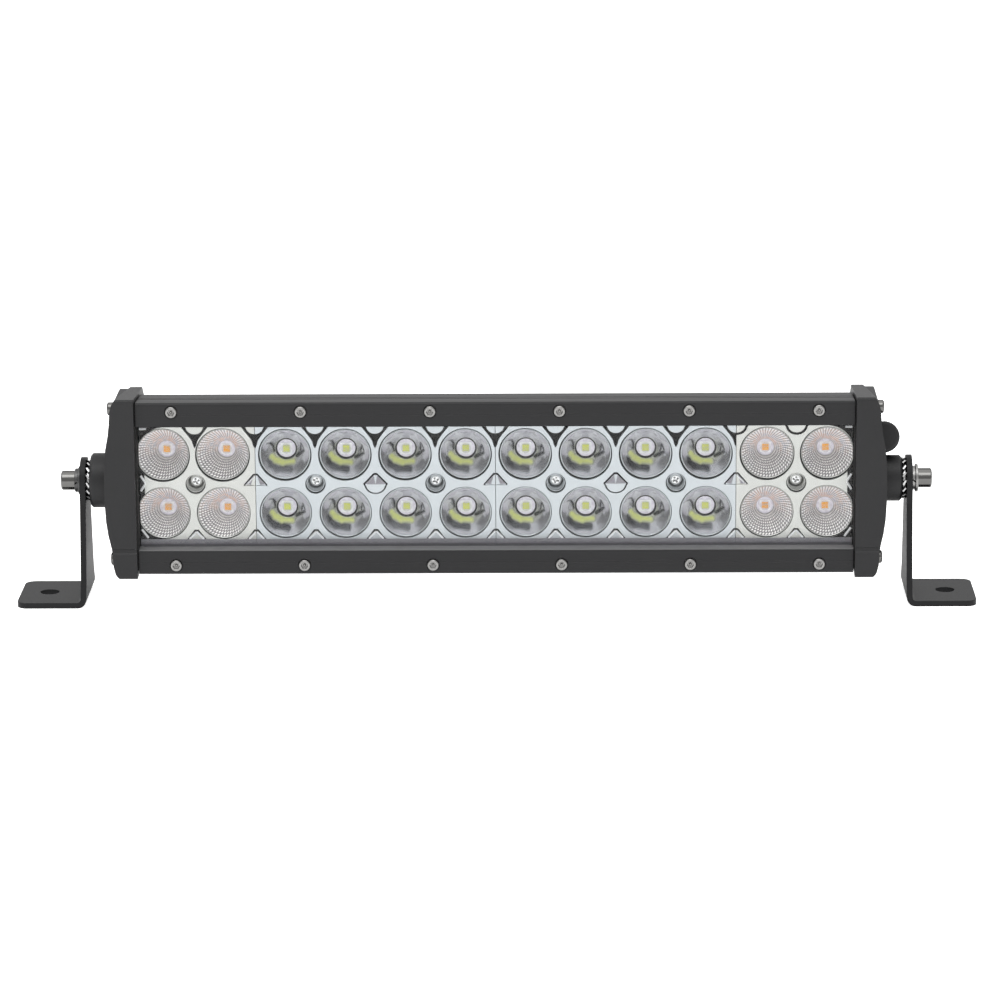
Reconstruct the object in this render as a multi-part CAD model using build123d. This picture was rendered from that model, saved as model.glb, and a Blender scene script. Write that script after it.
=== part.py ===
from build123d import *
import math
import os

# ---------------------------------------------------------------------------
# Dual-row LED light bar with two side brackets, built as on the bench.
#
# Frame of the finished part: X runs along the bar, -Y is the lit front, +Z is
# up.  The origin is the midpoint between the two foot bolt holes, on the
# underside of the feet.  While modelling, "bar" coordinates are used instead:
# y = 0 at the front face of the bezel strips, z = 0 at mid height of the bar.
# Everything is shifted once, when it is written.
# ---------------------------------------------------------------------------

# --- driving dimensions (mm) ------------------------------------------------
LED_PITCH = 26.0          # column pitch along the bar
ROW_Z = 13.0              # rows sit at +/- this height
COLUMNS = 12
AXIS_DEPTH = 17.0         # tilt axis behind the bezel's front face
AXIS_HEIGHT = 52.8        # tilt axis above the underside of the feet

HOUSING_END = 154.4       # extrusion half length
GASKET_T = 0.6            # end gasket thickness
CAP_IN = HOUSING_END + GASKET_T
CAP_FRONT = -1.9          # caps stand this far in front of the bezel
CAP_BACK = 61.0           # rear face of the caps
CAP_HALF_H = 39.9         # half height of a cap, at its front
BODY_HALF_H = 38.1        # half height of the bezel strips
BODY_BACK = 60.2          # tips of the rear fins
STRIP_T = 7.0             # bezel strip depth, front to back
WINDOW_HALF_H = 27.2      # half height of the lit window
LENS_T = 2.9
RIM_Y = 10.5              # plane of the reflector rims
CUP_BASE_Y = 20.3         # bottom of the reflector cups
BOARD_Y = 21.6            # front face of the LED board
BOARD_T = 1.6
PAD_T = 0.5
FLOOR_Y = BOARD_Y + BOARD_T + PAD_T
FLOOR_T = 4.0
CAVITY_BACK = 44.0        # rear wall of the driver bay starts here
REAR_WALL_T = 3.0
FIN_T = 1.8

BEZEL_SCREW_Z = 34.0
BEZEL_SCREW_PITCH = 55.6
BEZEL_SCREWS = 6
BOTTOM_ROW_SHIFT = 0.7    # the lower screws sit this far towards the cable
CAP_SCREWS = [(10.0, 33.4), (10.0, -33.4), (41.5, 20.7), (41.5, -20.7)]
REFLECTOR_SCREW_X = [-130.0, -78.0, -26.0, 26.0, 78.0, 130.0]

BOSS_R_LEFT = 11.9
BOSS_R_RIGHT = 10.0
BOSS_END = 175.7          # outer end of a pivot boss
ARM_IN = 177.6            # inner face of a bracket arm
SHEET_T = 2.5             # bracket sheet thickness
ARM_OUT = ARM_IN + SHEET_T
BEND_R_IN = 1.5
FOOT_END = 208.0          # outer end of a foot
FOOT_DEPTH = 37.0
FOOT_HOLE_X = 195.5       # bolt hole centre, so the holes are 391 apart
FOOT_HOLE_R = 4.2         # clearance for M8
ARM_TOP_R = 10.2

BOLT_R = 3.0              # M6 pivot bolt shank
BOLT_HEAD_R = 4.3
BOLT_HEAD_H = 6.0
PIVOT_CLEAR = 0.08        # radial running clearance in the bracket
WASHER_STACK = 2.7        # flat plus spring washer between arm and head

GLAND_X = 167.8           # cable entry on the right cap
GLAND_FRONT = (12.0, 19.5)  # (y, z) of its domed front end
GLAND_DROP = 15.0         # degrees the entry runs down towards the back
CABLE_R = 3.1

SHIFT = Pos(0, -AXIS_DEPTH, AXIS_HEIGHT)


# --- helpers ----------------------------------------------------------------
def prism_x(pts, x0, x1):
    """Close a (y, z) outline and run it from x0 to x1."""
    face = make_face(Polyline(*pts, close=True))
    return extrude(Plane.YZ.offset(x0) * face, amount=x1 - x0)


def prism_y(pts, y0, y1):
    """Close an (x, z) outline and run it from y0 to y1."""
    face = make_face(Polyline(*pts, close=True))
    return extrude(Plane.XZ.offset(-y0) * face, amount=y1 - y0, dir=(0, 1, 0))


def prism_z(pts, z0, z1):
    """Close an (x, y) outline and run it from z0 to z1."""
    face = make_face(Polyline(*pts, close=True))
    return extrude(Plane.XY.offset(z0) * face, amount=z1 - z0)


def cyl_x(r, x0, x1, y, z):
    return Pos((x0 + x1) / 2, y, z) * Rot(0, 90, 0) * Cylinder(r, abs(x1 - x0))


def cyl_y(r, y0, y1, x, z):
    return Pos(x, (y0 + y1) / 2, z) * Rot(90, 0, 0) * Cylinder(r, abs(y1 - y0))


def box(x0, x1, y0, y1, z0, z1):
    return Pos((x0 + x1) / 2, (y0 + y1) / 2, (z0 + z1) / 2) * Box(
        x1 - x0, y1 - y0, z1 - z0)


def smooth(pts, n=6):
    """Round the corners of an outline given as (a, b, radius)."""
    out = []
    m = len(pts)
    for i in range(m):
        p = pts[i]
        if len(p) < 3 or p[2] <= 0:
            out.append((p[0], p[1]))
            continue
        a, b = pts[i - 1], pts[(i + 1) % m]
        v1 = (a[0] - p[0], a[1] - p[1])
        v2 = (b[0] - p[0], b[1] - p[1])
        l1, l2 = math.hypot(*v1), math.hypot(*v2)
        u1 = (v1[0] / l1, v1[1] / l1)
        u2 = (v2[0] / l2, v2[1] / l2)
        cosang = max(-1, min(1, u1[0] * u2[0] + u1[1] * u2[1]))
        half = math.acos(cosang) / 2
        d = min(p[2] / math.tan(half), l1 * 0.49, l2 * 0.49)
        r = d * math.tan(half)
        bis = (u1[0] + u2[0], u1[1] + u2[1])
        bl = math.hypot(*bis)
        c = (p[0] + bis[0] / bl * r / math.sin(half),
             p[1] + bis[1] / bl * r / math.sin(half))
        s = (p[0] + u1[0] * d, p[1] + u1[1] * d)
        e = (p[0] + u2[0] * d, p[1] + u2[1] * d)
        a0 = math.atan2(s[1] - c[1], s[0] - c[0])
        a1 = math.atan2(e[1] - c[1], e[0] - c[0])
        while a1 - a0 > math.pi:
            a1 -= 2 * math.pi
        while a1 - a0 < -math.pi:
            a1 += 2 * math.pi
        for k in range(n + 1):
            t = a0 + (a1 - a0) * k / n
            out.append((c[0] + r * math.cos(t), c[1] + r * math.sin(t)))
    return out


def hex_y(af, y0, y1, x, z):
    """Hexagonal prism along Y, given across flats."""
    return Pos(x, y0, z) * extrude(
        Plane.XZ * RegularPolygon(af / 2, 6, major_radius=False),
        amount=y1 - y0, dir=(0, 1, 0))


def hex_x(af, x0, x1, y, z):
    lo, hi = min(x0, x1), max(x0, x1)
    return Pos(0, y, z) * extrude(
        Plane.YZ.offset(lo) * RegularPolygon(af / 2, 6, major_radius=False),
        amount=hi - lo)


def mirror_x(shape):
    return mirror(shape, about=Plane.YZ)


parts = {}
columns = [(i - (COLUMNS - 1) / 2) * LED_PITCH for i in range(COLUMNS)]
amber_cols = [columns[0], columns[1], columns[-2], columns[-1]]
white_cols = columns[2:-2]

# --- housing: one aluminium extrusion --------------------------------------
# The top and bottom lean in by about five degrees towards the back.
CORE = [(STRIP_T, 37.5), (27.5, 35.7), (28.4, 32.6), (31.5, 24.6),
        (CAVITY_BACK + REAR_WALL_T, 24.6)]
core = CORE + [(y, -z) for y, z in reversed(CORE)]
housing = prism_x(core, -HOUSING_END, HOUSING_END)
fins = []
for z, root, tip in [(5.6, 46, BODY_BACK), (11.2, 46, BODY_BACK),
                     (16.8, 46, BODY_BACK - 0.7), (22.4, 46, 56.0),
                     (28.0, 28, 50.4), (33.4, 26.0, 35.0)]:
    for s in (1, -1):
        fins.append(prism_x(smooth([
            (root, s * z - FIN_T / 2, 0), (tip, s * z - FIN_T * 0.36, 0.5),
            (tip, s * z + FIN_T * 0.36, 0.5), (root, s * z + FIN_T / 2, 0)],
            3), -HOUSING_END, HOUSING_END))
housing = housing + fins
# light chamber, lens rebate, driver bay
housing -= box(-160, 160, 0, FLOOR_Y, -26.4, 26.4)
housing -= box(-160, 160, 0, 11.0, -30.6, 30.6)
housing -= box(-160, 160, FLOOR_Y + FLOOR_T, CAVITY_BACK, -16.5, 16.5)
# long grooves in the top and bottom faces
for s in (1, -1):
    for y, z in ((11.0, 37.1), (15.0, 36.75)):
        housing -= box(-160, 160, y, y + 0.9, s * z - 0.45, s * z + 0.75)
bezel_x = [(i - (BEZEL_SCREWS - 1) / 2) * BEZEL_SCREW_PITCH
           for i in range(BEZEL_SCREWS)]
bezel_rows = {1: bezel_x, -1: [x + BOTTOM_ROW_SHIFT for x in bezel_x]}
for s, row in bezel_rows.items():
    for x in row:
        housing -= cyl_y(1.55, STRIP_T - 1, STRIP_T + 9, x, s * BEZEL_SCREW_Z)
for y, z in CAP_SCREWS:
    for s in (1, -1):
        housing -= cyl_x(2.03, s * (HOUSING_END - 9.5), s * (HOUSING_END + 1),
                         y, z)
for x in REFLECTOR_SCREW_X:
    housing -= cyl_y(1.53, FLOOR_Y - 1, FLOOR_Y + 3.2, x, 0)
# wire pass-through from the driver bay to the LED board
housing -= cyl_y(2.4, FLOOR_Y - 1, FLOOR_Y + FLOOR_T + 1, 104.0, 0)
parts["housing"] = housing

# --- bezel strips -----------------------------------------------------------
def strip(sign):
    lo, hi = WINDOW_HALF_H, BODY_HALF_H
    pts = smooth([(0, lo, 1.0), (0, 32.4, 0), (0.12, 32.5, 0),
                  (0.12, 32.9, 0), (0, 33.0, 0), (0, hi, 1.1),
                  (STRIP_T, hi - 0.5, 0), (STRIP_T, lo, 0.3)], 4)
    if sign < 0:
        pts = [(y, -z) for y, z in reversed(pts)]
    body = prism_x(pts, -HOUSING_END, HOUSING_END)
    for x in bezel_rows[sign]:
        body -= cyl_y(1.65, -1, STRIP_T + 1, x, sign * BEZEL_SCREW_Z)
        body -= cyl_y(2.75, -1, 1.0, x, sign * BEZEL_SCREW_Z)
    return body


parts["top_bezel_strip"] = strip(1)
parts["bottom_bezel_strip"] = strip(-1)


def bezel_screw(x, z):
    head = cyl_y(2.45, -1.0, 0.98, x, z)
    head = chamfer(head.edges().group_by(Axis.Y)[0], 0.45)
    head -= hex_y(2.5, -1.1, 0.5, x, z)
    shank = cyl_y(1.5, 0.97, STRIP_T + 8.5, x, z)
    return head + shank


parts["top_bezel_screws"] = [bezel_screw(x, BEZEL_SCREW_Z) for x in bezel_x]
parts["bottom_bezel_screws"] = [bezel_screw(x, -BEZEL_SCREW_Z)
                                for x in bezel_rows[-1]]

# --- lens and its two sealing cords -----------------------------------------
lens = box(-HOUSING_END + 0.1, HOUSING_END - 0.1, STRIP_T + 0.05,
           STRIP_T + LENS_T, -30.3, 30.3)
parts["lens"] = lens
parts["lens_seals"] = [
    box(-HOUSING_END + 0.1, HOUSING_END - 0.1, STRIP_T + LENS_T, 10.98,
        min(s * 27.0, s * 30.3), max(s * 27.0, s * 30.3)) for s in (1, -1)]


# --- reflectors -------------------------------------------------------------
def cup(r_top, r_base, wall):
    """Open dish with a parabolic wall, axis along Y at the origin."""
    q = (r_top / r_base) ** 2
    vertex = (q * CUP_BASE_Y - RIM_Y) / (q - 1)
    k = r_top / math.sqrt(vertex - RIM_Y)
    ys = [RIM_Y + (CUP_BASE_Y - RIM_Y) * t / 7 for t in range(8)]
    inner = [(k * math.sqrt(vertex - y), y) for y in ys]
    outer = [(r + wall, y) for r, y in inner]
    face = make_face(Polyline(*inner, *reversed(outer), close=True))
    return revolve(face, Axis.Y)


WHITE_CUP = cup(11.2, 4.4, 0.8)
AMBER_CUP = cup(11.5, 3.8, 0.7)


def panel(x0, x1, cols, proto, r_hole, outer_end):
    """Face plate with its cups; outer_end is -1, 0 or +1."""
    plate = box(x0, x1, RIM_Y, RIM_Y + 1.3, -25.0, 25.0)
    cuts = []
    for x in cols:
        for s in (1, -1):
            cuts.append(cyl_y(r_hole + 0.35, RIM_Y - 1, RIM_Y + 3, x,
                              s * ROW_Z))
    mids = [(a + b) / 2 for a, b in zip(cols, cols[1:])]
    for x in mids:
        # open V above the cups and a small notch below
        cuts.append(prism_y([(x - 4.6, 26), (x - 2.6, 19.8), (x, 16.6),
                             (x + 2.6, 19.8), (x + 4.6, 26)],
                            RIM_Y - 1, RIM_Y + 2))
        cuts.append(prism_y([(x - 3.4, -26), (x, -22.0), (x + 3.4, -26)],
                            RIM_Y - 1, RIM_Y + 2))
    wells = [x for x in REFLECTOR_SCREW_X if x0 < x < x1]
    for x in wells:
        cuts.append(cyl_y(3.7, RIM_Y - 1, RIM_Y + 3, x, 0))
    if outer_end:
        e = x0 if outer_end < 0 else x1
        cuts.append(prism_y([(e, 6.5), (e - outer_end * 3.4, 3.0),
                             (e - outer_end * 3.4, -3.0), (e, -6.5),
                             (e + outer_end * 3, -6.5),
                             (e + outer_end * 3, 6.5)], RIM_Y - 1, RIM_Y + 2))
    body = plate - cuts
    cups = [Pos(x, 0, s * ROW_Z) * proto for x in cols for s in (1, -1)]
    tubes = []
    for x in wells:
        tube = cyl_y(4.6, RIM_Y, BOARD_Y, x, 0)
        tube -= cyl_y(3.7, RIM_Y - 1, 16.6, x, 0)
        tube -= cyl_y(1.6, RIM_Y, BOARD_Y + 1, x, 0)
        tubes.append(tube)
    body = body + cups + tubes
    # cups stop at the end of the panel
    body = body & box(x0, x1, RIM_Y - 1, BOARD_Y + 1, -25.0, 25.0)
    return body


SEAM = 104.0
parts["left_amber_reflector"] = panel(-HOUSING_END + 0.1, -SEAM - 0.08,
                                      columns[:2], AMBER_CUP, 11.5, -1)
parts["left_white_reflector"] = panel(-SEAM + 0.08, -0.08, columns[2:6],
                                      WHITE_CUP, 11.2, 0)
parts["right_white_reflector"] = panel(0.08, SEAM - 0.08, columns[6:10],
                                       WHITE_CUP, 11.2, 0)
parts["right_amber_reflector"] = panel(SEAM + 0.08, HOUSING_END - 0.1,
                                       columns[10:], AMBER_CUP, 11.5, 1)


def reflector_screw(x):
    head = cyl_y(2.6, 14.6, 16.58, x, 0)
    head = fillet(head.edges().group_by(Axis.Y)[0], 0.8)
    for a in (45, 135):
        head -= Pos(x, 14.4, 0) * Rot(0, a, 0) * Box(3.2, 2.0, 0.7)
    return head + cyl_y(1.5, 16.5, FLOOR_Y + 3.0, x, 0)


parts["reflector_screws"] = [reflector_screw(x) for x in REFLECTOR_SCREW_X]

# --- LED board and emitters -------------------------------------------------
board = box(-152.0, 152.0, BOARD_Y, BOARD_Y + BOARD_T, -25.6, 25.6)
for x in REFLECTOR_SCREW_X:
    board -= cyl_y(1.7, BOARD_Y - 1, BOARD_Y + 3, x, 0)
board -= cyl_y(2.4, BOARD_Y - 1, BOARD_Y + 3, 104.0, 0)
parts["led_board"] = board
pad = box(-151.5, 151.5, BOARD_Y + BOARD_T, FLOOR_Y, -25.2, 25.2)
for x in REFLECTOR_SCREW_X:
    pad -= cyl_y(2.2, FLOOR_Y - 2, FLOOR_Y + 1, x, 0)
pad -= cyl_y(2.6, FLOOR_Y - 2, FLOOR_Y + 1, 104.0, 0)
parts["thermal_pad"] = pad

BASE_H, DIE_H = 0.8, 0.2
for name, cols, side, die in (("white", white_cols, 5.0, 2.9),
                              ("amber", amber_cols, 4.6, 2.8)):
    bases, dies, domes = [], [], []
    for x in cols:
        for s in (1, -1):
            z = s * ROW_Z
            f = BOARD_Y - BASE_H
            bases.append(box(x - side / 2, x + side / 2, f, BOARD_Y,
                             z - side / 2, z + side / 2))
            dies.append(box(x - die / 2, x + die / 2, f - DIE_H, f,
                            z - die / 2, z + die / 2))
            dome = Pos(x, f, z) * Sphere(2.25)
            dome = dome & box(x - 3, x + 3, f - 3, f, z - 3, z + 3)
            domes.append(dome - box(x - die / 2, x + die / 2, f - DIE_H,
                                    f + 1, z - die / 2, z + die / 2))
    parts[name + "_led_bases"] = bases
    parts[name + "_led_dies"] = dies
    parts[name + "_led_domes"] = domes

# --- driver in the rear bay -------------------------------------------------
DRV_Y = 40.0
drv = box(-75, 75, DRV_Y, DRV_Y + 1.6, -14, 14)
POSTS = [(-70, 10.5), (-70, -10.5), (70, 10.5), (70, -10.5)]
for x, z in POSTS:
    drv -= cyl_y(1.6, DRV_Y - 1, DRV_Y + 3, x, z)
parts["driver_board"] = drv
spacers, drv_screws = [], []
for x, z in POSTS:
    sp = cyl_y(2.6, DRV_Y + 1.6, CAVITY_BACK, x, z)
    sp -= cyl_y(1.55, DRV_Y, CAVITY_BACK + 1, x, z)
    spacers.append(sp)
    housing -= cyl_y(1.53, CAVITY_BACK - 1, CAVITY_BACK + 2.0, x, z)
    drv_screws.append(cyl_y(2.5, DRV_Y - 1.6, DRV_Y, x, z)
                      - hex_y(2.5, DRV_Y - 1.7, DRV_Y - 0.5, x, z)
                      + cyl_y(1.5, DRV_Y - 0.1, CAVITY_BACK + 1.8, x, z))
parts["housing"] = housing
parts["driver_spacers"] = spacers
parts["driver_screws"] = drv_screws
parts["driver_capacitors"] = [cyl_y(4.0, DRV_Y - 9.5, DRV_Y, x, z)
                              for x, z in ((-52, 4), (-42, 4), (48, -5))]
parts["driver_inductors"] = [
    box(x - 6, x + 6, DRV_Y - 7.0, DRV_Y, z - 6, z + 6)
    for x, z in ((-18, 3), (22, 3))]
parts["driver_chips"] = [
    box(x - w / 2, x + w / 2, DRV_Y - 1.6, DRV_Y, z - 2, z + 2)
    for x, z, w in ((-30, -9, 5), (-5, -9, 5), (4, 5, 6), (36, -9, 5),
                    (60, 6, 7))]


# --- end gaskets ------------------------------------------------------------
CAP_OUTLINE = [(CAP_FRONT, CAP_HALF_H, 1.2), (41.0, 36.2, 1.6),
               (53.5, 27.0, 6.0), (CAP_BACK, 17.0, 5.0)]
cap_outline = smooth(CAP_OUTLINE + [(y, -z, r) for y, z, r in
                                    reversed(CAP_OUTLINE)], 6)
g_out = [(1.0, 36.4), (18.4, 35.2), (26.6, 34.4), (30.6, 23.6),
         (CAVITY_BACK + 2.6, 23.6)]
gasket_out = g_out + [(y, -z) for y, z in reversed(g_out)]
gasket = prism_x(gasket_out, HOUSING_END, CAP_IN)
gasket -= box(150, 160, 12.0, FLOOR_Y - 0.5, -25.0, 25.0)
gasket -= box(150, 160, FLOOR_Y + FLOOR_T + 0.3, CAVITY_BACK - 0.3,
              -16.0, 16.0)
for y, z in CAP_SCREWS:
    gasket -= cyl_x(2.3, 150, 160, y, z)
parts["right_cap_gasket"] = gasket
parts["left_cap_gasket"] = mirror_x(gasket)

# --- end caps ---------------------------------------------------------------
# Outer face bulges gently towards the pivot; (x, z) outline, right side.
CAP_FACE = [(162.8, 40.0), (164.4, 37.8), (165.3, 34.5), (165.7, 29.0),
            (166.3, 24.0), (167.5, 18.0), (168.2, 10.0), (168.4, 2.0),
            (168.4, -6.0), (168.0, -14.0), (167.2, -20.0), (166.0, -25.5),
            (165.6, -29.0), (165.3, -34.0), (164.4, -37.8), (162.6, -40.0)]
SEAT_X = 164.9            # machined seat under each cap screw


def end_cap(boss_r):
    body = prism_x(cap_outline, CAP_IN, 172)
    face = prism_y([(CAP_IN, 41), (161.0, 41)] + CAP_FACE +
                   [(161.0, -41), (CAP_IN, -41)], -6, 62)
    body = body & face
    # plan outline: the cap narrows towards the back
    plan = smooth([(CAP_IN, -6, 0), (170, -6, 0), (170, 24, 0),
                   (166.0, 34, 6), (162.4, CAP_BACK + 1, 4.0),
                   (CAP_IN, CAP_BACK + 1, 0)], 6)
    body = body & prism_z(plan, -45, 45)
    # tapered shoulder along the top and bottom outer edges
    for s in (1, -1):
        wedge = prism_y([(163.4, s * 39.6), (165.6, s * 35.0),
                         (172, s * 35.0), (172, s * 42), (163.4, s * 42)],
                        -30, 75)
        wedge = Pos(163.4, CAP_FRONT, 0) * Rot(0, 0, 6.4) * Pos(
            -163.4, -CAP_FRONT, 0) * wedge
        body -= wedge
    # crease across the front face
    body -= prism_x([(CAP_FRONT - 1, -26.0), (CAP_FRONT - 1, -28.6),
                     (CAP_FRONT, -28.6), (CAP_FRONT + 0.55, -27.9),
                     (CAP_FRONT + 0.55, -26.7), (CAP_FRONT, -26.0)],
                    150, 180)
    # pivot boss with its tapped bore
    boss = cyl_x(boss_r, 160, BOSS_END, AXIS_DEPTH, 0)
    boss = chamfer(boss.edges().group_by(Axis.X)[-1], 0.9)
    body += boss
    body -= cyl_x(BOLT_R + 0.03, 158.5, BOSS_END + 1, AXIS_DEPTH, 0)
    # wiring pocket behind the driver bay opening
    body -= box(CAP_IN - 1, 161.0, FLOOR_Y + FLOOR_T + 1.5, CAVITY_BACK - 1.0,
                -14.5, 14.5)
    for y, z in CAP_SCREWS:
        body -= cyl_x(2.25, CAP_IN - 1, 175, y, z)
        body -= cyl_x(3.3, SEAT_X, 175, y, z)
    return body


left_cap = mirror_x(end_cap(BOSS_R_LEFT))
right_cap = end_cap(BOSS_R_RIGHT)

# cable turret on the right cap: a short barrel with a domed front, running
# back and slightly down, drilled through to the wiring pocket
GD = math.radians(GLAND_DROP)


def along(t, dx=0.0):
    """Point on the cable entry's axis, t behind its front end."""
    return (GLAND_X + dx, GLAND_FRONT[0] + t * math.cos(GD),
            GLAND_FRONT[1] - t * math.sin(GD))


def entry_cyl(r, t0, t1):
    p = along((t0 + t1) / 2)
    return Pos(*p) * Rot(90 - GLAND_DROP, 0, 0) * Cylinder(r, t1 - t0)


def entry_plane(t):
    return Plane(origin=along(t), z_dir=(0, math.cos(GD), -math.sin(GD)))


TURRET_R, TURRET_L = 6.8, 13.0
turret = entry_cyl(TURRET_R, 0, TURRET_L)
turret = fillet(turret.edges().group_by(Axis.Y)[0], 1.5)
turret -= box(150, 160.5, 0, 70, -10, 50)
CH_Y = 50.6               # cable centre line in the rear channel
cable_entry = Line(along(6.0), along(20.0))
cable_pts = [along(20.0), (167.6, 46.0, 8.4), (164.8, 59.0, 2.6),
             (158.6, 65.0, 0.4), (151.0, 62.6, 0.0), (144.0, 54.6, 0.0),
             (132.0, CH_Y, 0.0)]
cable_line = Spline(*cable_pts, tangents=[(0, math.cos(GD), -math.sin(GD)),
                                          (-1, 0, 0)])
cable_tail = Line((132.0, CH_Y, 0.0), (60.0, CH_Y, 0.0))
cable_path = Wire([cable_entry, cable_line, cable_tail])
cable_groove = sweep(entry_plane(20.0) * Circle(CABLE_R + 0.35),
                     path=cable_line)
right_cap -= entry_cyl(6.8, TURRET_L, TURRET_L + 8.5)
right_cap = right_cap + turret
right_cap -= entry_cyl(3.35, 5.0, 20)
right_cap -= entry_cyl(5.0, 8.5, 20)
right_cap -= cable_groove
# slanted drilling from the turret bore to the wiring pocket
right_cap -= Pos(163.0, 24.6, 14.6) * Rot(0, 0, 52) * Rot(0, 90, 0) * Cylinder(
    1.7, 15)
right_cap = max(right_cap.solids(), key=lambda q: q.volume)
parts["left_end_cap"] = left_cap
parts["right_end_cap"] = right_cap


def cap_screw(y, z):
    head = cyl_x(2.9, SEAT_X, SEAT_X + 2.5, y, z)
    head = fillet(head.edges().group_by(Axis.X)[-1], 0.9)
    head -= hex_x(3.0, SEAT_X + 1.1, SEAT_X + 3, y, z)
    return head + cyl_x(2.0, HOUSING_END - 9.0, SEAT_X + 0.05, y, z)


right_screws = [cap_screw(y, z) for y, z in CAP_SCREWS]
parts["right_cap_screws"] = right_screws
parts["left_cap_screws"] = [mirror_x(s) for s in right_screws]

# --- cable gland and power cable --------------------------------------------
seal = entry_cyl(4.95, 8.55, 12.9) - entry_cyl(CABLE_R + 0.02, 5, 20)
parts["gland_seal"] = seal
nut = entry_cyl(5.9, TURRET_L + 0.05, TURRET_L + 5.6)
nut = fillet(nut.edges().group_by(Axis.Y)[-1], 1.2)
nut -= entry_cyl(CABLE_R + 0.15, 5, 30)
for k in range(12):
    a = 2 * math.pi * k / 12
    p = entry_plane(TURRET_L + 3) * Pos(6.2 * math.cos(a), 6.2 * math.sin(a),
                                        0)
    nut -= p * Cylinder(0.7, 20)
parts["gland_nut"] = nut
parts["power_cable"] = sweep(entry_plane(6.0) * Circle(CABLE_R),
                             path=cable_path)
parts["cable_leads"] = [cyl_x(1.1, 38.0, 60.0, CH_Y, s * 1.3)
                        for s in (1, -1)]

# internal leads from the turret to the driver, and on to the LED board
WIRE_R = 0.8


def wire(pts):
    line = Polyline(*pts)
    line = FilletPolyline(*pts, radius=2.2)
    d = Vector(*pts[1]) - Vector(*pts[0])
    return sweep(Plane(origin=pts[0], z_dir=d) * Circle(WIRE_R), path=line)


parts["supply_wires"] = [
    wire([(75.0 + 0.05, 37.6, s * 1.6 + 8.0), (110, 37.6, s * 1.6 + 8.0),
          (150, 36.0, s * 1.6 + 8.0), (158.0, 31.4, s * 1.6 + 8.0)])
    for s in (1, -1)]
parts["led_wires"] = [
    wire([(75.05, 36.0, s * 1.1 - 4.0), (92.0, 36.0, s * 1.1 - 4.0),
          (104.0, 34.0, s * 1.1), (104.0, BOARD_Y + 0.4, s * 1.1)])
    for s in (1, -1)]


# --- pivot hardware, right side (mirrored for the left) ---------------------
def pivot_bolt(head_start):
    head = cyl_x(BOLT_HEAD_R, head_start, head_start + BOLT_HEAD_H,
                 AXIS_DEPTH, 0)
    head = chamfer(head.edges().group_by(Axis.X)[-1], 0.5)
    head -= hex_x(5.0, head_start + 3.0, head_start + 7, AXIS_DEPTH, 0)
    return head + cyl_x(BOLT_R, 160.0, head_start + 0.05, AXIS_DEPTH, 0)


def ring(r_out, r_in, x0, x1, edge=0.15):
    r = cyl_x(r_out, x0, x1, AXIS_DEPTH, 0)
    r = chamfer(r.edges(), edge)
    return r - cyl_x(r_in, x0 - 1, x1 + 1, AXIS_DEPTH, 0)


def spring_washer(x0, x1):
    """Split ring; the cut is slanted as on a coiled lock washer."""
    r = ring(5.2, 3.1, x0, x1, 0.1)
    cut = Pos((x0 + x1) / 2, AXIS_DEPTH - 4.2, 0) * Rot(0, 35, 0) * Box(
        4.0, 4.0, 0.6)
    return r - cut


def tooth_washer():
    """External toothed lock washer with sixteen twisted teeth."""
    mid = (BOSS_END + ARM_IN) / 2
    body = cyl_x(6.9, mid - 0.45, mid + 0.45, AXIS_DEPTH, 0)
    teeth = []
    for k in range(16):
        tooth = Pos(0, -7.4, 0) * Rot(0, 33, 0) * Box(0.75, 2.8, 2.3)
        teeth.append(Pos(mid, AXIS_DEPTH, 0) * Rot(360 / 16 * k, 0, 0)
                     * tooth)
    body = body + teeth
    return body - cyl_x(3.1, mid - 2, mid + 2, AXIS_DEPTH, 0)


HEAD_START = ARM_OUT + WASHER_STACK
parts["right_pivot_bolt"] = pivot_bolt(HEAD_START)
parts["left_pivot_bolt"] = mirror_x(pivot_bolt(HEAD_START))
parts["right_spring_washer"] = spring_washer(ARM_OUT + 0.02, ARM_OUT + 1.55)
parts["right_flat_washer"] = ring(6.1, 3.1, ARM_OUT + 1.55, HEAD_START)
parts["left_flat_washer"] = mirror_x(ring(6.1, 3.1, ARM_OUT + 0.02,
                                          ARM_OUT + 1.2))
parts["left_spring_washer"] = mirror_x(spring_washer(ARM_OUT + 1.2,
                                                     HEAD_START))
parts["right_tooth_washer"] = tooth_washer()
parts["left_tooth_washer"] = mirror_x(tooth_washer())

# --- brackets: bent steel sheet, an L with a tapered arm --------------------
FOOT_Z = -AXIS_HEIGHT     # underside of the foot in bar coordinates


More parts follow.
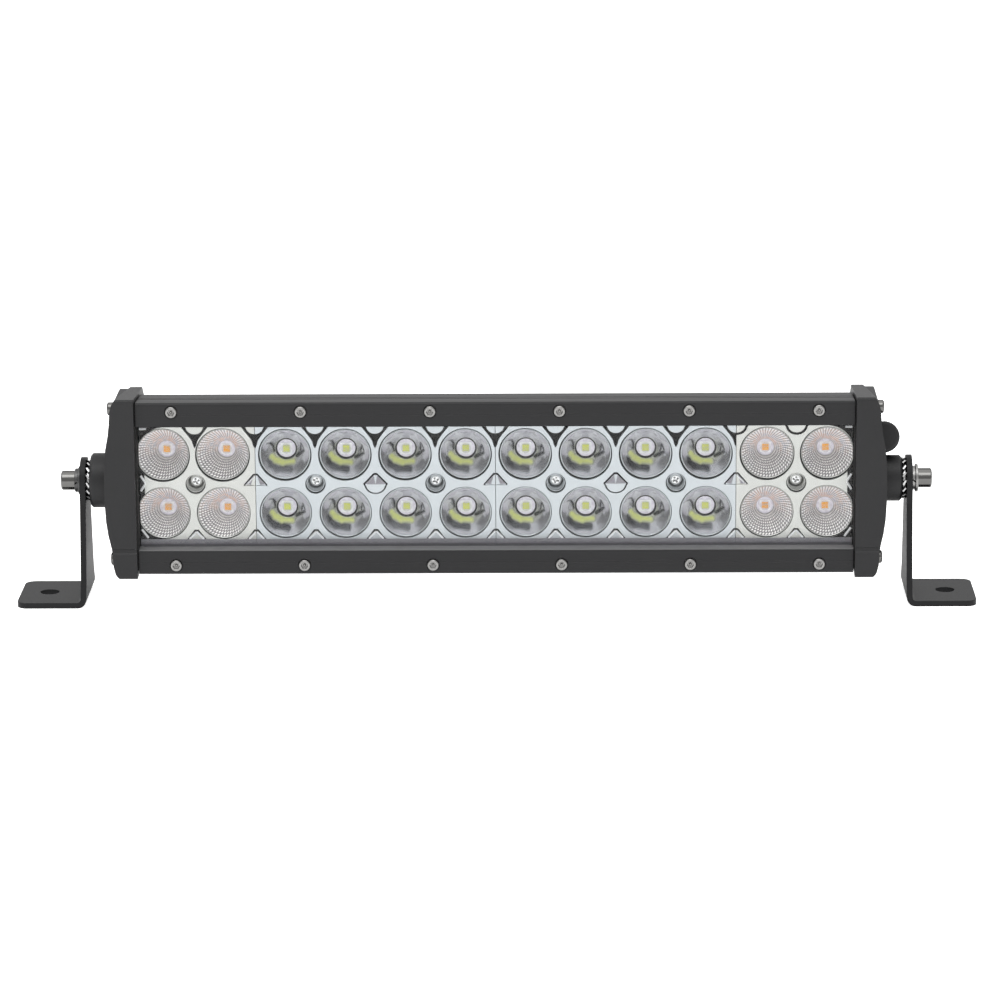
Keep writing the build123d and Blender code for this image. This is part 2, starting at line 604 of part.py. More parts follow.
def bracket():
    t, ri = SHEET_T, BEND_R_IN
    ro = t + ri
    xi, xo = ARM_IN, ARM_OUT
    zb, zt = FOOT_Z, FOOT_Z + t
    pts = [(xi, ARM_TOP_R + 1), (xo, ARM_TOP_R + 1)]
    cx, cz = xo + ri, zt + ri
    for k in range(9):                      # inner bend
        a = math.pi + (math.pi / 2) * k / 8
        pts.append((cx + ri * math.cos(a), cz + ri * math.sin(a)))
    pts += [(FOOT_END, zt), (FOOT_END, zb)]
    for k in range(9):                      # outer bend
        a = 1.5 * math.pi - (math.pi / 2) * k / 8
        pts.append((cx + ro * math.cos(a), cz + ro * math.sin(a)))
    sheet = prism_y(pts, AXIS_DEPTH - FOOT_DEPTH / 2,
                    AXIS_DEPTH + FOOT_DEPTH / 2)
    # arm outline seen from the side
    half = FOOT_DEPTH / 2
    arm = [(AXIS_DEPTH + ARM_TOP_R * math.cos(math.pi * k / 20),
            ARM_TOP_R * math.sin(math.pi * k / 20)) for k in range(21)]
    side = arm + [(AXIS_DEPTH - ARM_TOP_R, -9.0),
                  (AXIS_DEPTH - 15.4, -42.0), (AXIS_DEPTH - half, -48.5),
                  (AXIS_DEPTH - half, FOOT_Z - 1),
                  (AXIS_DEPTH + half, FOOT_Z - 1),
                  (AXIS_DEPTH + half, -48.5), (AXIS_DEPTH + 15.4, -42.0),
                  (AXIS_DEPTH + ARM_TOP_R, -9.0)]
    body = sheet & prism_x(side, ARM_IN - 1, FOOT_END + 1)
    # rounded outer corners of the foot
    plan = smooth([(ARM_IN - 1, AXIS_DEPTH - half, 0),
                   (FOOT_END, AXIS_DEPTH - half, 4.5),
                   (FOOT_END, AXIS_DEPTH + half, 4.5),
                   (ARM_IN - 1, AXIS_DEPTH + half, 0)], 8)
    body = body & prism_z(plan, FOOT_Z - 1, 30)
    body -= cyl_x(BOLT_R + PIVOT_CLEAR, ARM_IN - 1, ARM_OUT + 1, AXIS_DEPTH,
                  0)
    body -= Pos(FOOT_HOLE_X, AXIS_DEPTH, FOOT_Z) * Cylinder(FOOT_HOLE_R, 10)
    return body


parts["right_bracket"] = bracket()
parts["left_bracket"] = mirror_x(bracket())

# --- write ------------------------------------------------------------------
os.makedirs("parts", exist_ok=True)
for name, shape in parts.items():
    if isinstance(shape, (list, tuple)):
        solids = []
        for s in shape:
            solids.extend(s.solids())
        shape = Compound(children=[SHIFT * s for s in solids])
    else:
        solids = shape.solids()
        shape = SHIFT * (solids[0] if len(solids) == 1 else Compound(
            children=list(solids)))
    export_step(shape, f"parts/{name}.step")
    print(name, len(shape.solids()), round(shape.volume, 1))
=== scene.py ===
import math
import bpy
import bmesh
from mathutils import Vector, Matrix
from mathutils.geometry import delaunay_2d_cdt


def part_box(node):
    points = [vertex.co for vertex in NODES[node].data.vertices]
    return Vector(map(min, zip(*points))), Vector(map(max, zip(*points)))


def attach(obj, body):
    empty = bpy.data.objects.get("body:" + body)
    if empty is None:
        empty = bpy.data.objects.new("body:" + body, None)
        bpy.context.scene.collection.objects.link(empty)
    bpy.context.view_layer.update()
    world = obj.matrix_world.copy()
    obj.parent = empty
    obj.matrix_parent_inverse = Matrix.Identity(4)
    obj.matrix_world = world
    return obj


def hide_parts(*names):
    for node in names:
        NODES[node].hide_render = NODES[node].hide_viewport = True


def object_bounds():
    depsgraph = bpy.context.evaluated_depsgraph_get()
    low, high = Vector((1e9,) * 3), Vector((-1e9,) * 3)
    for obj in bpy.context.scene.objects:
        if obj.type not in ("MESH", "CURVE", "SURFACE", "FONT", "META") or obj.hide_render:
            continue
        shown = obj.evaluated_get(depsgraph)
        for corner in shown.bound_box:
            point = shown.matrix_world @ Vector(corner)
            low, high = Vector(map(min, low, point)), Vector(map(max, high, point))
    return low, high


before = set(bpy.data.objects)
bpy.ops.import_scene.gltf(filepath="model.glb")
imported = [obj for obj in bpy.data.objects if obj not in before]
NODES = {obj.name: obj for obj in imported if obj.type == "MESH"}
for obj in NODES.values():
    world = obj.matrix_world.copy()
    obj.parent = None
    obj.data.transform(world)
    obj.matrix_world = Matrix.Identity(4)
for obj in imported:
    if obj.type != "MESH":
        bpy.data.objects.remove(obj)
CAD_BOX = [[float(v) for v in c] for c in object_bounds()]
MM = 0.001


# ---------------------------------------------------------------- materials
class Mat:
    """Small wrapper that makes node wiring readable."""

    def __init__(self, name):
        self.m = bpy.data.materials.new(name)
        self.m.use_nodes = True
        self.nt = self.m.node_tree
        self.nt.nodes.clear()
        self.out = self.new("ShaderNodeOutputMaterial")
        self.tc = self.new("ShaderNodeTexCoord")

    def new(self, kind, **kw):
        n = self.nt.nodes.new(kind)
        for k, v in kw.items():
            if k.startswith("i_"):
                n.inputs[k[2:].replace("__", " ")].default_value = v
            else:
                setattr(n, k, v)
        return n

    def link(self, a, b):
        self.nt.links.new(a, b)

    def mapping(self, scale=(1, 1, 1), rot=(0, 0, 0)):
        mp = self.new("ShaderNodeMapping")
        mp.inputs["Scale"].default_value = scale
        mp.inputs["Rotation"].default_value = rot
        self.link(self.tc.outputs["Object"], mp.inputs["Vector"])
        return mp.outputs["Vector"]

    def noise(self, scale, detail=3, rough=0.55, vec=None):
        n = self.new("ShaderNodeTexNoise")
        n.inputs["Scale"].default_value = scale
        n.inputs["Detail"].default_value = detail
        n.inputs["Roughness"].default_value = rough
        self.link(vec if vec else self.tc.outputs["Object"],
                  n.inputs["Vector"])
        return n.outputs["Fac"]

    def ramp(self, fac, stops):
        r = self.new("ShaderNodeValToRGB")
        e = r.color_ramp.elements
        while len(e) < len(stops):
            e.new(0.5)
        for el, (p, c) in zip(e, stops):
            el.position = p
            if not isinstance(c, (tuple, list)):
                c = (c, c, c)
            el.color = (c[0], c[1], c[2], 1)
        self.link(fac, r.inputs["Fac"])
        return r.outputs["Color"]

    def math(self, op, a, b=None, c=None):
        n = self.new("ShaderNodeMath", operation=op)
        for i, v in enumerate((a, b, c)):
            if v is None:
                continue
            if isinstance(v, (int, float)):
                n.inputs[i].default_value = v
            else:
                self.link(v, n.inputs[i])
        return n.outputs[0]

    def mix(self, fac, a, b):
        n = self.new("ShaderNodeMix", data_type="RGBA")
        if isinstance(fac, (int, float)):
            n.inputs[0].default_value = fac
        else:
            self.link(fac, n.inputs[0])
        for idx, v in ((6, a), (7, b)):
            if isinstance(v, (tuple, list)):
                n.inputs[idx].default_value = (v[0], v[1], v[2], 1)
            else:
                self.link(v, n.inputs[idx])
        return n.outputs[2]

    def bump(self, height, strength, dist, normal=None):
        b = self.new("ShaderNodeBump")
        b.inputs["Strength"].default_value = strength
        b.inputs["Distance"].default_value = dist
        self.link(height, b.inputs["Height"])
        if normal:
            self.link(normal, b.inputs["Normal"])
        return b.outputs["Normal"]

    def principled(self, color, rough, metallic=0.0, normal=None, **kw):
        p = self.new("ShaderNodeBsdfPrincipled")
        for name, v in (("Base Color", color), ("Roughness", rough),
                        ("Metallic", metallic)):
            if isinstance(v, (tuple, list)):
                p.inputs[name].default_value = (v[0], v[1], v[2], 1)
            elif isinstance(v, (int, float)):
                p.inputs[name].default_value = v
            else:
                self.link(v, p.inputs[name])
        if normal:
            self.link(normal, p.inputs["Normal"])
        for k, v in kw.items():
            name = k.replace("__", " ")
            if isinstance(v, (int, float, tuple)):
                p.inputs[name].default_value = v
            else:
                self.link(v, p.inputs[name])
        return p

    def finish(self, shader):
        self.link(shader.outputs[0], self.out.inputs["Surface"])
        self.m.cycles.emission_sampling = "NONE"
        return self.m


def edge_mask(M, radius, lo=0.0, hi=0.25):
    """White along convex and concave edges, from a bevelled normal."""
    bev = M.new("ShaderNodeBevel", samples=4)
    bev.inputs["Radius"].default_value = radius
    geo = M.new("ShaderNodeNewGeometry")
    dot = M.new("ShaderNodeVectorMath", operation="DOT_PRODUCT")
    M.link(bev.outputs[0], dot.inputs[0])
    M.link(geo.outputs["Normal"], dot.inputs[1])
    inv = M.math("SUBTRACT", 1.0, dot.outputs["Value"])
    mr = M.new("ShaderNodeMapRange")
    mr.inputs["From Min"].default_value = lo
    mr.inputs["From Max"].default_value = hi
    M.link(inv, mr.inputs["Value"])
    return mr.outputs[0], bev.outputs[0]


def black_extrusion(name="black_anodised_extrusion", inner=None):
    """Satin black anodised aluminium with fine die lines along the bar."""
    M = Mat(name)
    edge, bn = edge_mask(M, 0.0005)
    cloud = M.noise(22, 3, 0.6)
    grain = M.noise(2600, 2, 0.6)
    lines = M.noise(1.0, 3, 0.7, M.mapping((6, 1500, 1500)))
    base = M.mix(cloud, (0.0115, 0.0115, 0.0125), (0.0165, 0.0165, 0.0175))
    # painted highlight: the base colour is lightened along convex and concave edges
    base = M.mix(M.math("MULTIPLY", edge, 0.35), base,
                 (0.060, 0.060, 0.062))
    rough = M.math("MULTIPLY_ADD", lines, 0.14, 0.36)
    rough = M.math("MULTIPLY_ADD", grain, 0.08, rough)
    n = M.bump(lines, 0.30, 0.00003, bn)
    n = M.bump(grain, 0.22, 0.00002, n)
    if inner:
        # painted highlight: faces inside the window, turned up to the light, get a lighter
        # base colour
        sx = M.new("ShaderNodeSeparateXYZ")
        M.link(M.tc.outputs["Normal"], sx.inputs[0])
        pos = M.new("ShaderNodeSeparateXYZ")
        M.link(M.tc.outputs["Object"], pos.inputs[0])
        up = M.math("MULTIPLY", M.math("GREATER_THAN", sx.outputs["Z"], 0.6),
                    M.math("GREATER_THAN", pos.outputs["Z"], inner))
        base = M.mix(up, base, (0.155, 0.155, 0.158))
    return M.finish(M.principled(base, rough, 0.0, n,
                                 Specular__IOR__Level=0.29))


def black_coat(name, grain_scale, rough0, lift=1.0, spec=0.33):
    """Powder-coated casting or sheet: tiny orange-peel over satin black."""
    M = Mat(name)
    edge, bn = edge_mask(M, 0.0006)
    cloud = M.noise(30, 4, 0.6)
    peel = M.noise(grain_scale, 3, 0.5)
    vor = M.new("ShaderNodeTexVoronoi")
    vor.inputs["Scale"].default_value = grain_scale * 0.55
    M.link(M.tc.outputs["Object"], vor.inputs["Vector"])
    base = M.mix(cloud, (0.0115 * lift, 0.0115 * lift, 0.0125 * lift),
                 (0.017 * lift, 0.017 * lift, 0.018 * lift))
    # painted highlight: the base colour is lightened along convex and concave edges
    base = M.mix(M.math("MULTIPLY", edge, 0.35), base,
                 (0.055, 0.055, 0.057))
    rough = M.math("MULTIPLY_ADD", peel, 0.16, rough0)
    n = M.bump(peel, 0.28, 0.00005, bn)
    n = M.bump(vor.outputs["Distance"], 0.16, 0.00004, n)
    return M.finish(M.principled(base, rough, 0.0, n,
                                 Specular__IOR__Level=spec))


def steel(name, color, rough0, line_vec, line_scale=1.0, wear=0.08):
    """Turned or brushed stainless steel."""
    M = Mat(name)
    edge, bn = edge_mask(M, 0.00025)
    lines = M.noise(line_scale, 4, 0.7, M.mapping(line_vec))
    spots = M.noise(700, 3, 0.6)
    base = M.mix(spots, color, tuple(c * 0.82 for c in color))
    rough = M.math("MULTIPLY_ADD", lines, wear * 2, rough0)
    rough = M.math("MULTIPLY_ADD", spots, wear, rough)
    n = M.bump(lines, 0.25, 0.00003, bn)
    return M.finish(M.principled(base, rough, 1.0, n))


def chrome(name, tint, rough0):
    """Vacuum-metallised plastic: bright, with faint moulding waviness."""
    M = Mat(name)
    wav = M.noise(120, 2, 0.5)
    fine = M.noise(1400, 3, 0.6)
    dust = M.noise(420, 5, 0.7)
    base = M.mix(wav, tint, tuple(c * 0.93 for c in tint))
    base = M.mix(M.ramp(dust, [(0.60, 0.0), (0.80, 0.25)]), base,
                 tuple(c * 0.72 for c in tint))
    rough = M.math("MULTIPLY_ADD", fine, 0.06, rough0)
    n = M.bump(wav, 0.10, 0.0002)
    n = M.bump(fine, 0.08, 0.00002, n)
    return M.finish(M.principled(base, rough, 1.0, n))


def dish_white(name, tint, rough0):
    """Mirror dish with painted reflections.  The colour layer "paint" carries the mirror
    image of the phosphor (red) and of the dark gap round the emitter (green); the dish
    also glows faintly by emission."""
    M = Mat(name)
    at = M.new("ShaderNodeAttribute", attribute_name="paint")
    sep = M.new("ShaderNodeSeparateColor")
    M.link(at.outputs["Color"], sep.inputs[0])
    wav = M.noise(260, 2, 0.5)
    mott = M.noise(1500, 4, 0.75)
    base = M.mix(wav, tint, (tint[0] * 0.90, tint[1] * 0.90, tint[2] * 0.92))
    # painted reflection: dark image of the gap round the emitter, mottled
    dark_reflection = M.math("MULTIPLY", sep.outputs[1], M.math(
        "MULTIPLY_ADD", mott, 1.1, 0.42))
    dark_reflection = M.math("MINIMUM", dark_reflection, 0.93)
    base = M.mix(dark_reflection, base, (0.035, 0.037, 0.042))
    # painted reflection: image of the phosphor, mottled
    glow = M.math("MINIMUM", M.math("MULTIPLY", sep.outputs[0], M.math(
        "MULTIPLY_ADD", mott, 0.9, 0.36)), 0.92)
    base = M.mix(glow, base, (0.58, 0.63, 0.17))
    rough = M.math("MULTIPLY_ADD", wav, 0.05, rough0)
    n = M.bump(wav, 0.12, 0.0002)
    metal = M.math("MULTIPLY_ADD", glow, -0.55, 0.80)
    # painted glow: the dish emits its own base colour, more where the phosphor image is
    # painted
    pr = M.principled(base, rough, metal, n, Emission__Color=base)
    M.link(M.math("MULTIPLY_ADD", glow, 0.16, 0.13),
           pr.inputs["Emission Strength"])
    return M.finish(pr)


def dish_amber(name, tint, rough0):
    """Pillow-faceted mirror dish with painted shade and reflection.  "paint" carries the
    facet borders (red), the upper part of the dish (green) and nearness to the emitter
    (blue): painted shade along the borders, a painted tinted reflection over the upper
    part and painted shade near the emitter; the dish also glows by emission."""
    M = Mat(name)
    at = M.new("ShaderNodeAttribute", attribute_name="paint")
    sep = M.new("ShaderNodeSeparateColor")
    M.link(at.outputs["Color"], sep.inputs[0])
    sp = M.noise(700, 2, 0.6)
    hue = M.noise(330, 2, 0.7)
    base = M.mix(M.ramp(sp, [(0.35, 0.0), (0.65, 1.0)]),
                 tuple(c * 0.82 for c in tint), tuple(c * 1.12 for c in tint))
    reflection_tint = M.ramp(hue, [(0.36, (0.18, 0.21, 0.33)), (0.46, (0.28, 0.24, 0.25)),
                         (0.54, (0.42, 0.21, 0.17)), (0.64, (0.46, 0.20, 0.08))])
    # painted shade along the facet borders, tinted by the painted reflection on the upper
    # part
    linec = M.mix(sep.outputs[1], (0.12, 0.117, 0.122), reflection_tint)
    line = M.ramp(sep.outputs[0], [(0.42, 0.0), (0.92, 1.0)])
    # painted reflection over the upper part of the dish, then painted shade near the
    # emitter
    base = M.mix(M.math("MULTIPLY", sep.outputs[1], 0.46), base,
                 (0.43, 0.355, 0.34))
    base = M.mix(M.math("MULTIPLY", sep.outputs[2], 0.40), base,
                 (0.36, 0.30, 0.29))
    base = M.mix(M.math("MULTIPLY", line, 0.90), base, linec)
    n = M.bump(sp, 0.08, 0.0001)
    # painted glow: the dish emits its own base colour
    pr = M.principled(base, rough0, 0.30, n, Emission__Color=base)
    pr.inputs["Emission Strength"].default_value = 0.50
    return M.finish(pr)


def skirt_mat():
    M = Mat("metallised_skirt")
    m = M.noise(900, 4, 0.75)
    lines = M.noise(1.0, 3, 0.7, M.mapping((500, 60, 60)))
    base = M.mix(m, (0.17, 0.163, 0.185), (0.40, 0.385, 0.42))
    base = M.mix(M.math("MULTIPLY", lines, 0.4), base, (0.14, 0.135, 0.15))
    return M.finish(M.principled(base, 0.35, 0.2, M.bump(m, 0.3, 0.0001)))


def bright_edge(name, color):
    """Painted highlight: crest of a moulded rib where the metallising catches the light,
    shown by a light colour and its own emission.
    """
    M = Mat(name)
    m = M.noise(900, 3, 0.6)
    base = M.mix(m, color, tuple(c * 0.78 for c in color))
    pr = M.principled(base, 0.32, 0.45, M.bump(m, 0.15, 0.00005),
                      Emission__Color=base)
    pr.inputs["Emission Strength"].default_value = 0.38
    return M.finish(pr)


def plastic(name, color, rough0, grain=1500, bump=0.2, spec=0.5, var=0.2,
            glow=0.0):
    M = Mat(name)
    big = M.noise(60, 3, 0.5)
    fine = M.noise(grain, 3, 0.6)
    base = M.mix(big, color, tuple(max(0.0, c * (1 - var)) for c in color))
    rough = M.math("MULTIPLY_ADD", fine, 0.15, rough0)
    n = M.bump(fine, bump, 0.00004)
    pr = M.principled(base, rough, 0.0, n, Specular__IOR__Level=spec,
                      Emission__Color=base)
    pr.inputs["Emission Strength"].default_value = glow
    return M.finish(pr)


def thin_clear(name, tint, gloss=1.0, rough=0.03):
    """Clear moulded cover: light passes straight through it, and it keeps
    the surface reflection of a hard-coated plastic."""
    M = Mat(name)
    fr = M.new("ShaderNodeFresnel")
    fr.inputs["IOR"].default_value = 1.45
    smear = M.noise(35, 4, 0.6)
    micro = M.noise(900, 2, 0.5)
    n = M.bump(micro, 0.03, 0.00002)
    M.link(n, fr.inputs["Normal"])
    tr = M.new("ShaderNodeBsdfTransparent")
    col = M.mix(smear, tint, tuple(c * 0.985 for c in tint))
    M.link(col, tr.inputs["Color"])
    gl = M.new("ShaderNodeBsdfGlossy")
    M.link(M.math("MULTIPLY_ADD", smear, 0.05, rough),
           gl.inputs["Roughness"])
    M.link(n, gl.inputs["Normal"])
    # rays aren't bent here, so the far face would mirror them past 44 degrees
    geo = M.new("ShaderNodeNewGeometry")
    front = M.math("SUBTRACT", 1.0, geo.outputs["Backfacing"])
    gloss = M.math("MULTIPLY", fr.outputs[0], gloss)
    mx = M.new("ShaderNodeMixShader")
    M.link(M.math("MULTIPLY", gloss, front), mx.inputs[0])
    M.link(tr.outputs[0], mx.inputs[1])
    M.link(gl.outputs[0], mx.inputs[2])
    return M.finish(mx)


def led_dome(name, glow):
    """Silicone lens over a phosphor die.  Along its axis it is clear; seen
    from the side it fills with the colour of the phosphor, painted in as diffuse colour
    with a faint emission glow."""
    M = Mat(name)
    geo = M.new("ShaderNodeNewGeometry")
    dot = M.new("ShaderNodeVectorMath", operation="DOT_PRODUCT")
    vt = M.new("ShaderNodeVectorTransform", vector_type="VECTOR",
               convert_from="WORLD", convert_to="OBJECT")
    M.link(geo.outputs["Incoming"], vt.inputs[0])
    M.link(vt.outputs[0], dot.inputs[0])
    dot.inputs[1].default_value = (0, -1, 0)
    side = M.new("ShaderNodeMapRange")
    side.inputs["From Min"].default_value = 0.30
    side.inputs["From Max"].default_value = 0.0
    M.link(dot.outputs["Value"], side.inputs["Value"])
    haze = M.noise(900, 3, 0.6)
    tr = M.new("ShaderNodeBsdfTransparent")
    tr.inputs["Color"].default_value = (0.99, 0.99, 0.985, 1)
    glowc = M.mix(haze, glow, tuple(c * 0.8 for c in glow))
    df = M.new("ShaderNodeBsdfDiffuse")
    M.link(glowc, df.inputs["Color"])
    em = M.new("ShaderNodeEmission")
    M.link(glowc, em.inputs["Color"])
    em.inputs["Strength"].default_value = 0.30
    add = M.new("ShaderNodeAddShader")
    M.link(df.outputs[0], add.inputs[0])
    M.link(em.outputs[0], add.inputs[1])
    body = M.new("ShaderNodeMixShader")
    M.link(side.outputs[0], body.inputs[0])
    M.link(tr.outputs[0], body.inputs[1])
    M.link(add.outputs[0], body.inputs[2])
    fr = M.new("ShaderNodeFresnel")
    fr.inputs["IOR"].default_value = 1.42
    gl = M.new("ShaderNodeBsdfGlossy")
    gl.inputs["Roughness"].default_value = 0.02
    mx = M.new("ShaderNodeMixShader")
    M.link(fr.outputs[0], mx.inputs[0])
    M.link(body.outputs[0], mx.inputs[1])
    M.link(gl.outputs[0], mx.inputs[2])
    return M.finish(mx)


def led_board_mat(cx, cz, pitch, row):
    """Black solder mask with a white ring printed round every emitter and
    thin copper-shadow tracks between them."""
    M = Mat("led_board_mask")
    sep = M.new("ShaderNodeSeparateXYZ")
    M.link(M.tc.outputs["Object"], sep.inputs[0])
    x = M.math("SUBTRACT", sep.outputs["X"], cx - pitch / 2)
    fx = M.math("SUBTRACT", M.math("FRACT", M.math("DIVIDE", x, pitch)), 0.5)
    dx = M.math("MULTIPLY", fx, pitch)
    dz = M.math("SUBTRACT", M.math("ABSOLUTE", M.math(
        "SUBTRACT", sep.outputs["Z"], cz)), row)
    d = M.math("SQRT", M.math("ADD", M.math("MULTIPLY", dx, dx),
                              M.math("MULTIPLY", dz, dz)))
    disc = M.math("LESS_THAN", d, 0.0040)
    fine = M.noise(1800, 3, 0.6)
    blot = M.ramp(M.noise(650, 3, 0.6), [(0.45, 0.0), (0.62, 1.0)])
    track = M.math("LESS_THAN", M.math("ABSOLUTE", M.math(
        "SUBTRACT", M.math("ABSOLUTE", dz), 0.0062)), 0.0004)
    base = M.mix(M.math("MULTIPLY", track, 0.5), (0.012, 0.013, 0.014),
                 (0.03, 0.034, 0.036))
    base = M.mix(disc, base, (0.82, 0.79, 0.86))
    base = M.mix(M.math("MULTIPLY", fine, 0.12), base, (0.3, 0.3, 0.3))
    base = M.mix(M.math("MULTIPLY", M.math("MULTIPLY", blot, disc), 0.35),
                 base, (0.42, 0.39, 0.46))
    n = M.bump(M.math("ADD", disc, fine), 0.2, 0.00003)
    # painted light: the printed disc glows faintly by emission, lifting it out of the
    # shade in the dish
    pr = M.principled(base, 0.4, 0.0, n, Emission__Color=base)
    M.link(M.math("MULTIPLY", disc, 0.24), pr.inputs["Emission Strength"])
    return M.finish(pr)


def phosphor(name, color, edge, glow):
    """Phosphor tile: a two by two chip grid shows as faint lines."""
    M = Mat(name)
    sep = M.new("ShaderNodeSeparateXYZ")
    M.link(M.tc.outputs["Object"], sep.inputs[0])
    grain = M.noise(5000, 3, 0.6)
    base = M.mix(grain, color, tuple(c * 0.85 for c in color))
    e, bn = edge_mask(M, 0.0003, 0.0, 0.4)
    base = M.mix(M.math("MULTIPLY", e, 0.7), base, edge)
    n = M.bump(grain, 0.3, 0.00003)
    # painted glow: camera rays see the die emit its colour; other rays see plain grey, so
    # no phosphor shows in reflections
    lp = M.new("ShaderNodeLightPath")
    base = M.mix(lp.outputs["Is Camera Ray"], (0.34, 0.34, 0.34), base)
    pr = M.principled(base, 0.5, 0.0, n, Emission__Color=base)
    M.link(M.math("MULTIPLY_ADD", lp.outputs["Is Camera Ray"], glow, 0.05),
           pr.inputs["Emission Strength"])
    return M.finish(pr)


MATS = {}
MATS["extrusion"] = black_extrusion()
MATS["extrusion_lip"] = black_extrusion(
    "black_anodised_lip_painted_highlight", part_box("bottom_bezel_strip")[1][2] - 0.002)
MATS["casting"] = black_coat("black_cast_coat", 1500, 0.40, 1.0)
MATS["sheet"] = black_coat("black_sheet_coat", 1900, 0.36, 0.75, 0.19)
MATS["screw_y"] = steel("stainless_screw_face", (0.34, 0.336, 0.328), 0.20,
                        (900, 90, 900))
MATS["screw_x"] = steel("stainless_turned", (0.165, 0.163, 0.158), 0.08,
                        (1800, 60, 60), wear=0.03)
MATS["washer"] = steel("stainless_washer", (0.32, 0.317, 0.31), 0.20,
                       (300, 900, 900))
# the left washers use a darker copy of the washer steel
MATS["washer_dark"] = steel("darker_washer_steel", (0.10, 0.10, 0.10), 0.25,
                            (300, 900, 900))
MATS["tooth"] = steel("bright_tooth_steel", (0.66, 0.66, 0.66), 0.18,
                      (500, 700, 700))
MATS["chrome_white"] = dish_white("metallised_dish_cool",
                                  (0.53, 0.535, 0.552), 0.07)
MATS["chrome_amber"] = dish_amber("metallised_dish_warm",
                                  (0.72, 0.71, 0.705), 0.30)
MATS["plate_white"] = chrome("metallised_plate_cool", (0.525, 0.553, 0.575),
                             0.31)
MATS["plate_amber"] = chrome("metallised_plate_warm", (0.56, 0.56, 0.538),
                             0.31)
MATS["skirt"] = skirt_mat()
MATS["edge"] = bright_edge("metallised_rib_crest_painted_highlight", (0.84, 0.85, 0.86))
# painted light: a brighter copy of the screw steel lifts the cross screws out of the shade
# of their wells
MATS["screw_bright"] = steel("lit_copy_cross_screw", (0.80, 0.80, 0.80), 0.10,
                             (900, 90, 900), wear=0.03)
MATS["reflector_back"] = plastic("reflector_back_plastic",
                                 (0.030, 0.030, 0.032), 0.6, 900, 0.3)
MATS["lens"] = thin_clear("hard_coated_lens", (0.985, 0.99, 0.99), 0.9)
MATS["dome_white"] = led_dome("silicone_dome_cool", (0.60, 0.62, 0.46))
MATS["dome_amber"] = led_dome("silicone_dome_warm", (0.70, 0.60, 0.50))
MATS["seal_grey"] = plastic("seal_silicone_grey", (0.17, 0.165, 0.18), 0.5,
                            1200, 0.3, 0.4)
MATS["rubber"] = plastic("seal_rubber", (0.018, 0.018, 0.018), 0.7, 1200,
                         0.4, 0.3)
MATS["pad"] = plastic("thermal_pad_grey", (0.35, 0.37, 0.40), 0.7, 1500, 0.4)
MATS["pcb"] = plastic("driver_pcb_green", (0.02, 0.13, 0.05), 0.4, 1200, 0.2)
# painted glow: the ceramic base emits faintly, standing in for light inside the dome
MATS["led_base"] = plastic("led_ceramic", (0.80, 0.80, 0.84), 0.35, 3000, 0.1,
                           0.5, 0.05, 0.28)
MATS["die_white"] = phosphor("phosphor_yellow", (0.52, 0.56, 0.10),
                             (0.40, 0.44, 0.16), 0.98)
MATS["die_amber"] = phosphor("phosphor_amber", (0.78, 0.34, 0.035),
                             (0.70, 0.40, 0.12), 0.98)
MATS["brass"] = steel("brass_spacer", (0.72, 0.53, 0.24), 0.25,
                      (300, 900, 900))
MATS["component"] = plastic("component_case", (0.03, 0.03, 0.035), 0.35, 1500)
MATS["nylon"] = plastic("black_nylon", (0.022, 0.022, 0.024), 0.42, 900, 0.25)
MATS["cable"] = plastic("cable_jacket", (0.020, 0.020, 0.021), 0.48, 700,
                        0.35)
MATS["lead"] = plastic("lead_insulation_red", (0.42, 0.02, 0.02), 0.4, 900,
                       0.2)

CAD_MATS = {
    "housing": "extrusion", "top_bezel_strip": "extrusion",
    "bottom_bezel_strip": "extrusion_lip", "left_end_cap": "casting",
    "right_end_cap": "casting", "left_bracket": "sheet",
    "right_bracket": "sheet", "top_bezel_screws": "screw_y",
    "bottom_bezel_screws": "screw_y", "reflector_screws": "screw_y",
    "left_cap_screws": "screw_x", "right_cap_screws": "screw_x",
    "driver_screws": "screw_y", "left_pivot_bolt": "screw_x",
    "right_pivot_bolt": "screw_x", "left_flat_washer": "washer_dark",
    "right_flat_washer": "washer", "left_spring_washer": "washer_dark",
    "right_spring_washer": "washer", "left_tooth_washer": "tooth",
    "right_tooth_washer": "tooth", "lens": "lens", "lens_seals": "seal_grey",
    "left_cap_gasket": "rubber", "right_cap_gasket": "rubber",
    "gland_seal": "rubber", "thermal_pad": "pad", "driver_board": "pcb",
    "white_led_bases": "led_base", "amber_led_bases": "led_base",
    "white_led_dies": "die_white", "amber_led_dies": "die_amber",
    "white_led_domes": "dome_white", "amber_led_domes": "dome_amber",
    "driver_spacers": "brass", "driver_capacitors": "component",
    "driver_inductors": "component", "driver_chips": "component",
    "gland_nut": "nylon", "power_cable": "cable", "cable_leads": "lead",
    "supply_wires": "lead", "led_wires": "lead",
}


def set_material(obj, mat):
    obj.data.materials.clear()
    obj.data.materials.append(mat)


for node, key in CAD_MATS.items():
    set_material(NODES[node], MATS[key])


# ------------------------------------------------- positions from the frame
def islands(node, size):
    """Centres of the separate solids in a node, by clustering vertices."""
    out = []
    for v in NODES[node].data.vertices:
        x, z = v.co.x, v.co.z
        for c in out:
            if abs(c[0] - x) < size and abs(c[1] - z) < size:
                c[2] = min(c[2], x); c[3] = max(c[3], x)
                c[4] = min(c[4], z); c[5] = max(c[5], z)
                break
        else:
            out.append([x, z, x, x, z, z])
    return sorted(((c[2] + c[3]) / 2, (c[4] + c[5]) / 2) for c in out)


